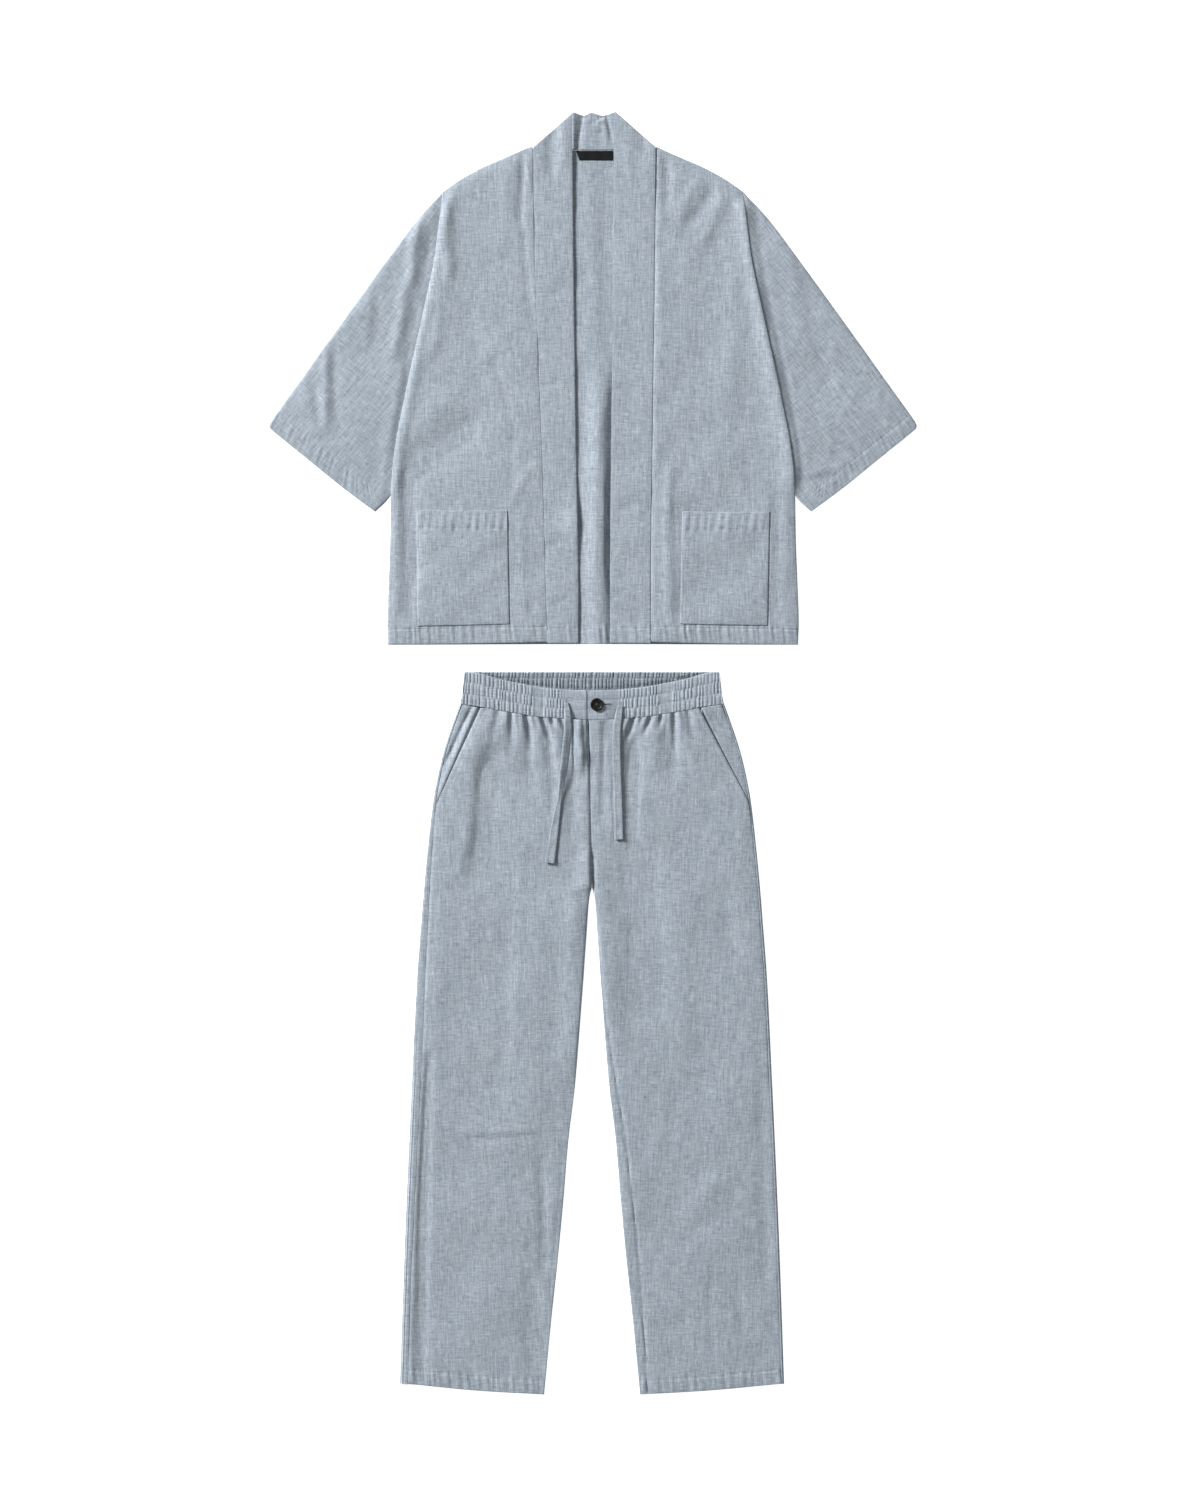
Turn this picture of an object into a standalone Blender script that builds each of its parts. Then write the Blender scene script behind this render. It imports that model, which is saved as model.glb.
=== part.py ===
# Kimono set laid flat: an open jacket with a long neckband and patch pockets, and below it a pair of
# straight drawstring trousers. Both lie face up on the floor plane.
# X runs across the garments, Y up towards the collar and Z away from the floor. The origin is on the
# floor under the middle of the set. Left and right are as seen from above.

import bisect
import math
from collections import namedtuple

import bmesh
import bpy
from mathutils import Vector
from mathutils.bvhtree import BVHTree

MM = 0.001

# Driving sizes in millimetres
JACKET_LENGTH = 746.0
TROUSER_LENGTH = 1011.0
SPACE_BETWEEN = 38.0
TROUSER_SHIFT = -1.4
CLOTH = 1.2
SEAM = 0.3
LAYER = CLOTH + SEAM
BAND_CLOTH = 2.4
RIBBED_CLOTH = 2.6
RIB_PITCH = 4.5
RIB_RISE = 0.45
POCKET_LIFT = 0.45
FACING_TUCK = 12.0
FLY_UNDERLAP = 4.0
BUTTON_DIAMETER = 18.0
BUTTON_HEIGHT = 3.0
TAPE_CLOTH = 1.6

JACKET_TOP = (JACKET_LENGTH + SPACE_BETWEEN + TROUSER_LENGTH) / 2
TROUSER_TOP = JACKET_TOP - JACKET_LENGTH - SPACE_BETWEEN

# Every outline point is in millimetres across from the garment's centre line and down from its top.
Point = namedtuple("Point", "across down")
# The neckband's seam to the front and its free edge, at a distance down from the collar.
Band = namedtuple("Band", "down seam edge")
# A soft ridge, or a trough where height is below zero, along a straight line.
Fold = namedtuple("Fold", "across down to_across to_down width height")
# Where the back leg's cloth turns over onto the front, and how far in its seam lies.
Turn = namedtuple("Turn", "down inset")
# One station along a drawstring: its place, its height over the cloth and its half width.
Tape = namedtuple("Tape", "across down lift half")
# What a height rule is told about a place on a panel: where it is and how far from each edge.
Spot = namedtuple("Spot", "across down inner outer top bottom")

# Jacket outlines, for the half on the right
SHOULDER = [
    Point(98, 53), Point(118, 62), Point(137, 70), Point(155, 78),
    Point(172, 87), Point(186, 95), Point(199, 104), Point(210, 112),
]
ARMHOLE = [
    Point(210, 112), Point(215, 150), Point(222, 204), Point(233, 258), Point(244.5, 310),
    Point(256, 362), Point(267, 415), Point(275, 455), Point(281, 500), Point(283, 537),
]
JACKET_SIDE = [Point(284, 599), Point(286, 655), Point(288, 711), Point(287, 746)]
SLEEVE_TOP = [
    Point(210, 112), Point(246, 151), Point(288, 207), Point(349, 291),
    Point(409, 375), Point(449, 431), Point(453, 441),
]
CUFF = [Point(453, 441), Point(447, 448), Point(400, 486), Point(352, 525), Point(305, 560)]
SLEEVE_UNDER = [Point(283, 537), Point(291, 547), Point(305, 560)]
NECK_LEFT = Point(-84, 50)
NECK_RIGHT = Point(88, 50)
PEAK_LEFT = Point(-27, 0)
PEAK_RIGHT = Point(31, 0)
COLLAR_TOP = [PEAK_LEFT, Point(-13, 5), Point(-2, 1), Point(14, 5), PEAK_RIGHT]
NECKLINE = [NECK_LEFT, Point(-40, 53), Point(0, 54), Point(44, 53), NECK_RIGHT]
BAND_LEFT = [
    Band(50, -84, -28), Band(183, -82, -27), Band(333, -77, -25), Band(483, -71, -23),
    Band(633, -67, -20), Band(744, -64, -20),
]
BAND_RIGHT = [
    Band(50, 88, 29), Band(183, 87, 28), Band(333, 85, 27), Band(483, 83, 25),
    Band(633, 81, 24), Band(744, 81, 24),
]
POCKET_LEFT = [Point(-247, 557), Point(-120, 558), Point(-117, 717), Point(-245, 720)]
POCKET_RIGHT = [Point(247, 560), Point(125, 559), Point(122, 717), Point(244, 719)]
LABEL = [Point(-19.5, 55.2), Point(32, 55.2), Point(32, 68), Point(-14, 68)]

# Trouser outlines, for the half on the right
TROUSER_SIDE = [
    Point(184, 42.3), Point(193, 67), Point(207, 109), Point(217, 151), Point(224, 193), Point(233, 277),
    Point(240, 361), Point(246, 445), Point(252, 571), Point(258, 700), Point(263, 823), Point(269, 996),
]
INNER_LEG = [
    Point(0.2, 302), Point(4, 319), Point(7, 361), Point(10, 403), Point(13, 445), Point(23, 571),
    Point(33, 655), Point(40, 739), Point(48, 823), Point(57, 907), Point(67, 1011),
]
TROUSER_HEM = [Point(67, 1011), Point(168, 1005), Point(269, 996)]
FLY_LINE = [Point(-8, 67), Point(-6, 80), Point(-1, 179), Point(0.2, 302)]
WAIST_DIP = [
    Point(178, 0), Point(162, 1), Point(129, 10), Point(100, 16), Point(79, 20), Point(39, 24.5), Point(0, 26),
]
WAIST_SEAM = [
    Point(184, 45), Point(148, 50), Point(129, 54), Point(98, 59), Point(80, 62),
    Point(50, 64.5), Point(22, 66), Point(0, 67),
]
BACK_BAND_SIDE = [Point(178, 0), Point(179, 17), Point(184, 42)]
SLANT_LEFT = [Point(156, 50), Point(213, 179)]
SLANT_RIGHT = [Point(150, 50), Point(217, 179)]
TURN_LEFT = [Turn(42, 3), Turn(179, 4), Turn(263, 7), Turn(463, 12), Turn(664, 12), Turn(864, 10), Turn(1000, 11)]
TURN_RIGHT = [Turn(42, 3), Turn(179, 3), Turn(463, 4), Turn(1000, 4)]
TURN_HEIGHT = 3.2
BAND_FLOOR = 3.6
FLAT_WAIST = 38.0
UNDERLAP_END = 14.0
OVERLAP_START = -5.0

# Drawstrings, from the eyelet in the waistband to the free end
STRING_LEFT = [
    Tape(-37, 44, 0.6, 2.6), Tape(-36, 60, 1.2, 2.8), Tape(-36, 81, 1.8, 3.0), Tape(-40, 106, 1.8, 3.2),
    Tape(-43, 130, 1.6, 3.6), Tape(-45, 168, 1.2, 4.2), Tape(-50, 204, 1.0, 5.0), Tape(-54, 240, 0.8, 5.2),
    Tape(-58, 267, 0.6, 6.2),
]
STRING_RIGHT = [
    Tape(41, 47, 0.6, 3.4), Tape(37, 62, 1.2, 4.6), Tape(35, 84, 1.6, 5.0), Tape(35, 118, 1.4, 5.0),
    Tape(35.5, 151, 1.2, 5.0), Tape(38, 200, 0.9, 5.0), Tape(39, 234, 0.6, 5.4),
]
BUTTON_AT = Point(8, 46)

# The largest folds, in the jacket's and the trousers' own places
JACKET_FOLDS = [
    Fold(-92, 70, -90, 300, 9, 0.9),
    Fold(205, 128, 132, 215, 18, -1.0),
    Fold(-190, 128, -232, 330, 14, 0.8),
    Fold(180, 150, 225, 420, 16, 0.8),
    Fold(-150, 130, -180, 420, 26, -0.7),
]
SLEEVE_FOLDS = [
    Fold(-347, 305, -375, 403, 13, -1.3),
    Fold(-247, 170, -262, 265, 10, -1.2),
    Fold(-320, 340, -352, 470, 16, 0.9),
    Fold(262, 190, 292, 330, 12, -1.1),
    Fold(330, 300, 355, 450, 15, 0.9),
    Fold(300, 400, 310, 530, 13, -1.0),
]
TROUSER_FOLDS = [
    Fold(-150, 118, -178, 221, 11, -1.3),
    Fold(-90, 87, -103, 180, 9, -1.0),
    Fold(-62, 87, -70, 160, 8, -0.9),
    Fold(57, 72, 52, 225, 8, -1.8),
    Fold(95, 70, 110, 190, 14, 0.8),
    Fold(-125, 85, -150, 300, 16, 0.8),
    Fold(30, 330, 90, 760, 26, 0.8),
    Fold(-40, 330, -120, 700, 26, 0.8),
    Fold(-170, 649, -75, 645, 9, 0.7),
]
# Gathers run down from the waistband seam, each a trough between two puffs.
GATHERS = [
    Fold(-113, 54, -113, 74, 4, -1.4), Fold(-93, 56, -88, 82, 4.5, -2.2), Fold(-71, 60, -62, 84, 4.5, -2.2),
    Fold(-56, 63, -55, 70, 4, -1.2), Fold(-44, 64, -39, 76, 4, -1.5), Fold(-130, 52, -136, 80, 5, -1.0),
    Fold(-12, 66, -10, 110, 4, -1.6), Fold(58, 65, 52, 84, 4.5, -2.0), Fold(83, 61, 77, 77, 4, -1.5),
    Fold(98, 59, 96, 70, 4, -1.1), Fold(115, 54, 116, 90, 4.5, -1.9), Fold(134, 51, 138, 76, 5, -1.0),
]
# The inner back rises as one soft fold between the two bands.
BACK_FOLD = Fold(1.5, 380, 2.5, 760, 10.5, 3.0)

CLOTH_COLOUR = (0.392, 0.445, 0.508, 1.0)
INNER_CLOTH_COLOUR = (0.370, 0.422, 0.484, 1.0)
TAPE_COLOUR = (0.420, 0.470, 0.530, 1.0)
LABEL_COLOUR = (0.012, 0.013, 0.016, 1.0)
BUTTON_COLOUR = (0.014, 0.014, 0.014, 1.0)


def clear_scene():
    for item in list(bpy.data.objects):
        bpy.data.objects.remove(item, do_unlink=True)


def make_material(name, colour, roughness):
    material = bpy.data.materials.new(name)
    material.use_nodes = True
    shader = material.node_tree.nodes["Principled BSDF"]
    shader.inputs["Base Color"].default_value = colour
    shader.inputs["Roughness"].default_value = roughness
    shader.inputs["Metallic"].default_value = 0.0
    return material


def mirrored(points):
    return [point._replace(across=-point.across) for point in points]


def moved(points, across=0.0, down=0.0):
    return [Point(point.across + across, point.down + down) for point in points]


def on_side(points, side):
    return points if side > 0 else mirrored(points)


def read_table(rows, key, value, at):
    """A table's value at a place between two of its rows."""
    keys = [getattr(row, key) for row in rows]
    at = min(max(at, keys[0]), keys[-1])
    index = min(max(bisect.bisect_right(keys, at), 1), len(rows) - 1)
    first = rows[index - 1]
    second = rows[index]
    share = (at - keys[index - 1]) / (keys[index] - keys[index - 1])
    return getattr(first, value) * (1 - share) + getattr(second, value) * share


def along(points, share):
    """The place at a share of an outline's length."""
    steps = [math.dist(points[i], points[i + 1]) for i in range(len(points) - 1)]
    left = share * sum(steps)
    for index, step in enumerate(steps):
        if left <= step or index == len(steps) - 1:
            start = Vector(points[index])
            return start.lerp(Vector(points[index + 1]), min(left / step, 1.0))
        left -= step
    return Vector(points[-1])


def corner_shares(points):
    """The share of an outline's length at which each of its points lies."""
    steps = [math.dist(points[i], points[i + 1]) for i in range(len(points) - 1)]
    total = sum(steps)
    return [sum(steps[:index]) / total for index in range(len(points))]


def patch_point(top, bottom, inner, outer, u, v):
    """A place inside four outlines, u of the way across and v of the way down."""
    upper = along(top, u)
    lower = along(bottom, u)
    near = along(inner, v)
    far = along(outer, v)
    corners = (
        (1 - u) * (1 - v) * Vector(top[0]) + u * (1 - v) * Vector(top[-1])
        + (1 - u) * v * Vector(bottom[0]) + u * v * Vector(bottom[-1])
    )
    return (1 - v) * upper + v * lower + (1 - u) * near + u * far - corners


def even_steps(count):
    return [index / count for index in range(count + 1)]


def edged_steps(count, edge):
    """Even steps with two close ones at each end, where the cloth rolls over."""
    middle = [3 * edge + (1 - 6 * edge) * index / count for index in range(count + 1)]
    return [0.0, edge] + middle + [1 - edge, 1.0]


def roll(distance, reach):
    """Rises from 0 at an edge to 1 at the reach, rounded like a rolled edge."""
    share = min(max(distance / reach, 0.0), 1.0)
    return math.sqrt(1 - (1 - share) ** 2)


def ease(value, start, end):
    share = min(max((value - start) / (end - start), 0.0), 1.0)
    return share * share * (3 - 2 * share)


def fold_height(across, down, folds):
    total = 0.0
    place = Vector((across, down))
    for fold in folds:
        start = Vector((fold.across, fold.down))
        run = Vector((fold.to_across, fold.to_down)) - start
        share = (place - start).dot(run) / run.length_squared
        foot = start + run * min(max(share, 0.0), 1.0)
        distance = (place - foot).length / fold.width
        fade = ease(share, -0.25, 0.2) * (1 - ease(share, 0.7, 1.2))
        total += fold.height * math.exp(-distance * distance) * fade
    return total


def gather_height(across, down):
    """Troughs that start sharp at the waistband seam and fade as they run down."""
    total = 0.0
    for fold in GATHERS:
        share = (down - fold.down) / (fold.to_down - fold.down)
        centre = fold.across + (fold.to_across - fold.across) * min(max(share, 0.0), 1.6)
        distance = (across - centre) / (fold.width * (1 + 0.5 * max(share, 0.0)))
        total += fold.height * math.exp(-distance * distance) * (1 - ease(share, 0.5, 2.6))
    return total


def place_jacket(across, down, height):
    return Vector((across * MM, (JACKET_TOP - down) * MM, height * MM))


def place_trousers(across, down, height):
    return Vector(((across + TROUSER_SHIFT) * MM, (TROUSER_TOP - down) * MM, height * MM))


def make_object(name, material, vertices, faces):
    """One closed body with its faces pointing out."""
    mesh = bpy.data.meshes.new(name)
    shape = bmesh.new()
    made = [shape.verts.new(vertex) for vertex in vertices]
    for face in faces:
        shape.faces.new([made[index] for index in face])
    bmesh.ops.recalc_face_normals(shape, faces=shape.faces)
    shape.to_mesh(mesh)
    shape.free()
    mesh.shade_smooth()
    mesh.set_sharp_from_angle(angle=math.radians(50))
    mesh.materials.append(material)
    item = bpy.data.objects.new(name, mesh)
    bpy.context.collection.objects.link(item)
    return item


def wall(name, material, upper, lower, closed=False):
    """A wall of cloth between two grids of places, open sheet or closed tube."""
    rows = len(upper)
    columns = len(upper[0])
    vertices = [place for row in upper for place in row] + [place for row in lower for place in row]
    under = rows * columns
    faces = []
    for row in range(rows - 1):
        for column in range(columns if closed else columns - 1):
            a = row * columns + column
            b = row * columns + (column + 1) % columns
            faces.append((a, b, b + columns, a + columns))
            faces.append((under + a, under + a + columns, under + b + columns, under + b))
    for row in (0, rows - 1):
        for column in range(columns if closed else columns - 1):
            a = row * columns + column
            b = row * columns + (column + 1) % columns
            faces.append((a, b, under + b, under + a))
    if not closed:
        for column in (0, columns - 1):
            for row in range(rows - 1):
                a = row * columns + column
                faces.append((a, a + columns, under + a + columns, under + a))
    return make_object(name, material, vertices, faces)


def slab(name, material, upper, lower):
    """A ribbed wall whose plain inside is one strip between its two long edges."""
    rows = len(upper)
    columns = len(upper[0])
    vertices = [place for row in upper for place in row] + list(lower[0]) + list(lower[1])
    first = rows * columns
    second = first + columns
    last = (rows - 1) * columns
    faces = []
    for column in range(columns - 1):
        for row in range(rows - 1):
            a = row * columns + column
            faces.append((a, a + 1, a + 1 + columns, a + columns))
        faces.append((first + column, second + column, second + column + 1, first + column + 1))
        faces.append((column, first + column, first + column + 1, column + 1))
        faces.append((last + column, last + column + 1, second + column + 1, second + column))
    for column in (0, columns - 1):
        side = [row * columns + column for row in range(rows)]
        faces.append(side + [second + column, first + column])
    return make_object(name, material, vertices, faces)


def panel(name, material, outline, steps_across, steps_down, height, thickness, place):
    """A cut panel: its outline is top, bottom, inner and outer edge, its lower side lies at height."""
    top, bottom, inner, outer = outline
    upper = []
    lower = []
    for v in steps_down:
        near = patch_point(top, bottom, inner, outer, 0.0, v)
        far = patch_point(top, bottom, inner, outer, 1.0, v)
        width = (far - near).length
        upper_row = []
        lower_row = []
        for u in steps_across:
            at = patch_point(top, bottom, inner, outer, u, v)
            head = patch_point(top, bottom, inner, outer, u, 0.0)
            foot = patch_point(top, bottom, inner, outer, u, 1.0)
            length = (foot - head).length
            spot = Spot(at.x, at.y, u * width, (1 - u) * width, v * length, (1 - v) * length)
            low = height(spot)
            lower_row.append(place(at.x, at.y, low))
            upper_row.append(place(at.x, at.y, low + thickness))
        upper.append(upper_row)
        lower.append(lower_row)
    return wall(name, material, upper, lower)


def surface_reader(items):
    """Reads the height of the uppermost of some finished pieces, straight from above."""
    trees = []
    for item in items:
        vertices = [vertex.co for vertex in item.data.vertices]
        faces = [face.vertices[:] for face in item.data.polygons]
        trees.append(BVHTree.FromPolygons(vertices, faces))

    def read(x, y):
        hits = [tree.ray_cast(Vector((x, y, 1.0)), Vector((0, 0, -1)))[0] for tree in trees]
        return max([hit.z for hit in hits if hit] + [0.0])

    return read


def band_seam(side, offset):
    """The neckband's seam line, moved outwards by an offset."""
    rows = BAND_RIGHT if side > 0 else BAND_LEFT
    return [Point(row.seam + side * offset, row.down) for row in rows]


def band_edge(side):
    rows = BAND_RIGHT if side > 0 else BAND_LEFT
    peak = PEAK_RIGHT if side > 0 else PEAK_LEFT
    return [peak] + [Point(row.edge, row.down) for row in rows]


def jacket_front_outline(side):
    inner = band_seam(side, SEAM)
    inner[0] = Point(inner[0].across + side * 1.5, 51.5)
    inner[-1] = inner[-1]._replace(down=742)
    shoulder = on_side(SHOULDER, side)
    outer = on_side(ARMHOLE + JACKET_SIDE, side)
    hem = [inner[-1], Point(side * 150, 744), outer[-1]]
    return [inner[0]] + shoulder, hem, inner, outer


def jacket_front_height(spot):
    puff = roll(spot.outer, 22) * roll(spot.top, 22)
    puff *= (0.45 + 0.55 * roll(spot.bottom, 40)) * (0.4 + 0.6 * roll(spot.inner, 30))
    calm = roll(spot.outer, 30) * roll(spot.bottom, 60) * roll(spot.inner, 16) * roll(spot.top, 30)
    folds = fold_height(spot.across, spot.down, JACKET_FOLDS)
    return LAYER + 0.1 + 2.3 * puff + folds * calm


def jacket_front(side, word, material):
    outline = jacket_front_outline(side)
    steps_down = sorted(corner_shares(outline[3]) + [0.012, 0.988])
    steps_across = edged_steps(11, 0.012)
    return panel(
        f"jacket_front_{word}", material, outline, steps_across, steps_down,
        jacket_front_height, CLOTH, place_jacket,
    )


def jacket_back(material):
    right = ARMHOLE + JACKET_SIDE
    left = mirrored(right)
    neckline = moved(NECKLINE, down=SEAM)
    top = mirrored(SHOULDER)[::-1] + neckline + SHOULDER
    hem = [left[-1], Point(0, 745), right[-1]]
    fold = BACK_FOLD

    def height(spot):
        offset = (spot.across - fold.across) / fold.width
        return fold.height * math.exp(-offset * offset) * ease(spot.down, fold.down, fold.down + 130)

    half = [0.0, 0.12, 0.26, 0.4, 0.455, 0.472, 0.487]
    steps_across = half + [0.5] + [1 - share for share in half[::-1]]
    return panel("jacket_back", material, (top, hem, left, right), steps_across, corner_shares(right),
                 height, CLOTH, place_jacket)


def sleeve_height(spot):
    puff = roll(min(spot.top, spot.bottom), 26) * (0.5 + 0.5 * roll(spot.outer, 40))
    puff *= ease(spot.inner, -4, 26)
    folds = fold_height(spot.across, spot.down, SLEEVE_FOLDS)
    return LAYER + 0.3 + 1.9 * puff + folds * puff


def sleeve(side, word, material):
    """A flattened tube, open at the armhole and the cuff, folded along its top and under edges."""
    top = on_side(SLEEVE_TOP, side)
    under = on_side(SLEEVE_UNDER, side)
    armhole = on_side(ARMHOLE, side)
    cuff = on_side(CUFF, side)
    armhole = moved(armhole, across=side * SEAM)
    top = [armhole[0]] + top[1:]
    under = [armhole[-1]] + under[1:]
    reach = 2.6
    outer_rings = []
    inner_rings = []
    for u in edged_steps(8, 0.016):
        start = patch_point(armhole, cuff, top, under, 0.0, u)
        end = patch_point(armhole, cuff, top, under, 1.0, u)
        width = (end - start).length
        out = (end - start) / width
        middle_height = (LAYER + 0.3 + CLOTH) / 2
        shares = [reach / width] + corner_shares(armhole)[1:-1] + [1 - reach / width]
        spots = []
        for share in shares:
            at = patch_point(armhole, cuff, top, under, share, u)
            run = patch_point(armhole, cuff, top, under, share, 1.0) - patch_point(
                armhole, cuff, top, under, share, 0.0)
            spots.append(Spot(at.x, at.y, u * run.length, (1 - u) * run.length,
                              share * width, (1 - share) * width))
        lows = [sleeve_height(spot) for spot in spots]
        outer_ring = [place_jacket(start.x, start.y, middle_height)]
        outer_ring += [place_jacket(s.across, s.down, low + CLOTH) for s, low in zip(spots, lows)]
        outer_ring.append(place_jacket(end.x, end.y, middle_height))
        outer_ring += [place_jacket(s.across, s.down, 0.0) for s in spots[::-1]]
        first = start + out * CLOTH
        last = end - out * CLOTH
        inner_ring = [place_jacket(first.x, first.y, middle_height)]
        inner_ring += [place_jacket(s.across, s.down, low) for s, low in zip(spots, lows)]
        inner_ring.append(place_jacket(last.x, last.y, middle_height))
        inner_ring += [place_jacket(s.across, s.down, CLOTH) for s in spots[::-1]]
        outer_rings.append(outer_ring)
        inner_rings.append(inner_ring)
    return wall(f"sleeve_{word}", material, outer_rings, inner_rings, closed=True)


def neckband_height(spot):
    over_collar = 1 - ease(spot.down, 78, 150)
    crown = roll(spot.inner, 14) * roll(spot.outer, 20)
    return LAYER + 0.2 + 1.2 * over_collar + 0.5 * crown * roll(spot.bottom, 30)


def neckband(side, word, material):
    """The doubled band along a front edge, from the collar's peak down to the hem."""
    edge = band_edge(side)
    seam = band_seam(side, 0.0)
    seam[0] = NECK_RIGHT if side > 0 else NECK_LEFT
    slope = [edge[0], seam[0]]
    hem = [edge[-1], seam[-1]]
    return panel(f"neckband_{word}", material, (slope, hem, edge, seam), edged_steps(3, 0.03),
                 edged_steps(16, 0.006), neckband_height, BAND_CLOTH, place_jacket)


def neckband_back(material):
    """The part of the band that stands round the back of the neck, pressed flat."""
    bottom = list(NECKLINE)
    left = [COLLAR_TOP[0], bottom[0]]
    right = [COLLAR_TOP[-1], bottom[-1]]
    return panel("neckband_back", material, (COLLAR_TOP, bottom, left, right), even_steps(10),
                 even_steps(4), lambda spot: 0.0, BAND_CLOTH - SEAM, place_jacket)


def neck_label(material):
    top = LABEL[:2]
    bottom = [LABEL[3], LABEL[2]]
    left = [LABEL[0], LABEL[3]]
    right = [LABEL[1], LABEL[2]]
    return panel("neck_label", material, (top, bottom, left, right), even_steps(4), even_steps(2),
                 lambda spot: LAYER, CLOTH / 2, place_jacket)


def pocket(corners, front, word, material):
    """A patch pocket made from the front panel's own surface, moved out."""
    read = surface_reader([front])
    top = corners[:2]
    bottom = [corners[3], corners[2]]
    outer = [corners[0], corners[3]]
    inner = [corners[1], corners[2]]

    def height(spot):
        place = place_jacket(spot.across, spot.down, 0.0)
        return read(place.x, place.y) / MM + POCKET_LIFT

    return panel(f"pocket_{word}", material, (top, bottom, outer, inner), even_steps(7), even_steps(7),
                 height, CLOTH, place_jacket)


def side_inset(side, down):
    return read_table(TURN_RIGHT if side > 0 else TURN_LEFT, "down", "inset", down)


def front_leg_outline(side):
    slant = SLANT_RIGHT if side > 0 else SLANT_LEFT
    seam = [point for point in TROUSER_SIDE if point.down > slant[-1].down + 20]
    outer = slant + [Point(point.across - side_inset(side, point.down) - SEAM, point.down) for point in seam]
    outer = on_side(outer, side)
    fly = FLY_LINE if side > 0 else [
        Point(FLY_LINE[0].across + FLY_UNDERLAP, 68), Point(FLY_LINE[1].across + FLY_UNDERLAP, 80),
        Point(FLY_LINE[2].across + FLY_UNDERLAP, 179), Point(-0.2, 302),
    ]
    inner = list(fly) + on_side(INNER_LEG, side)[1:]
    seam_line = [point for point in WAIST_SEAM if 20 < point.across < slant[0].across - 2]
    top = [slant[0]] + seam_line
    top = on_side(moved(top, down=SEAM), side)[::-1]
    inner[0] = Point(inner[0].across, 67 + SEAM)
    outer[0] = top[-1]
    top = [inner[0]] + top
    hem = [inner[-1], Point(side * 168, 1005), outer[-1]]
    return top, hem, inner, outer


def front_leg_height(side):
    underlap = 0.0 if side > 0 else FLY_UNDERLAP + 2.0

    def height(spot):
        inner = max(spot.inner - underlap * (1 - ease(spot.down, 290, 340)), 0.0)
        at_slant = 1 - ease(spot.down, 185, 240)
        edge = LAYER + 0.5 + 1.2 * at_slant * (1 - ease(spot.outer, 30, 60))
        puff = roll(spot.outer, 26) * roll(inner, 24) * (0.4 + 0.6 * roll(spot.bottom, 40))
        low = edge + 1.5 * puff
        near_fly = (1 - ease(inner, 6, 30)) * (1 - ease(spot.down, 302, 345))
        if side > 0:
            low += (3.1 - edge) * near_fly
        else:
            low += (LAYER - 0.02 - edge) * near_fly
        calm = roll(spot.outer, 12) * roll(inner, 14)
        folds = fold_height(spot.across, spot.down, TROUSER_FOLDS) * calm
        gathers = gather_height(spot.across, spot.down) * roll(spot.outer, 12) * roll(inner, 10)
        lift = 2.6 * (1 - ease(spot.down, 66, 150)) * roll(inner, 24) * roll(spot.outer, 30)
        return max(low + folds + gathers + lift, LAYER + (1.5 * at_slant if spot.outer < 30 else 0.0))
    return height


def front_leg(side, word, material):
    outline = front_leg_outline(side)
    steps_down = sorted(corner_shares(outline[3]) + [0.006, 0.02, 0.035, 0.055, 0.08, 0.16])
    return panel(f"trouser_front_{word}", material, outline, edged_steps(16, 0.015), steps_down,
                 front_leg_height(side), CLOTH, place_trousers)


def back_leg(side, word, material):
    """Lies on the floor and turns over the side fold onto the front, where its seam is."""
    outer = on_side(TROUSER_SIDE, side)
    inner = [Point(side * 0.2, 42.3), Point(side * 0.2, 180)] + on_side(INNER_LEG, side)
    top = [inner[0], outer[0]]
    hem = on_side(TROUSER_HEM, side)
    bend = TURN_HEIGHT / 2
    upper = []
    lower = []
    for v in corner_shares(outer):
        near = patch_point(top, hem, inner, outer, 0.0, v)
        far = patch_point(top, hem, inner, outer, 1.0, v)
        width = (far - near).length
        out = (far - near) / width
        inset = max(side_inset(side, far.y), bend + 1.0)
        floor_steps = [0.0, 0.25, 0.5, 0.75, 1.0]
        outside = [(step * (width - 0.7 * bend), 0.0) for step in floor_steps]
        outside += [(width - 0.15 * bend, 0.35 * bend), (width, bend), (width - 0.3 * bend, 1.7 * bend),
                    (width - bend, TURN_HEIGHT), (width - inset, TURN_HEIGHT)]
        inside = [(step * (width - 1.2 * bend), CLOTH) for step in floor_steps]
        inside += [(width - CLOTH - 0.1 * bend, CLOTH + 0.1), (width - CLOTH, bend),
                   (width - CLOTH - 0.1 * bend, TURN_HEIGHT - CLOTH - 0.1),
                   (width - 1.2 * bend, TURN_HEIGHT - CLOTH), (width - inset, TURN_HEIGHT - CLOTH)]
        rows = []
        for section in (outside, inside):
            places = [(near + out * distance, height) for distance, height in section]
            rows.append([place_trousers(at.x, at.y, height) for at, height in places])
        upper.append(rows[0])
        lower.append(rows[1])
    return wall(f"trouser_back_{word}", material, upper, lower)


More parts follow.
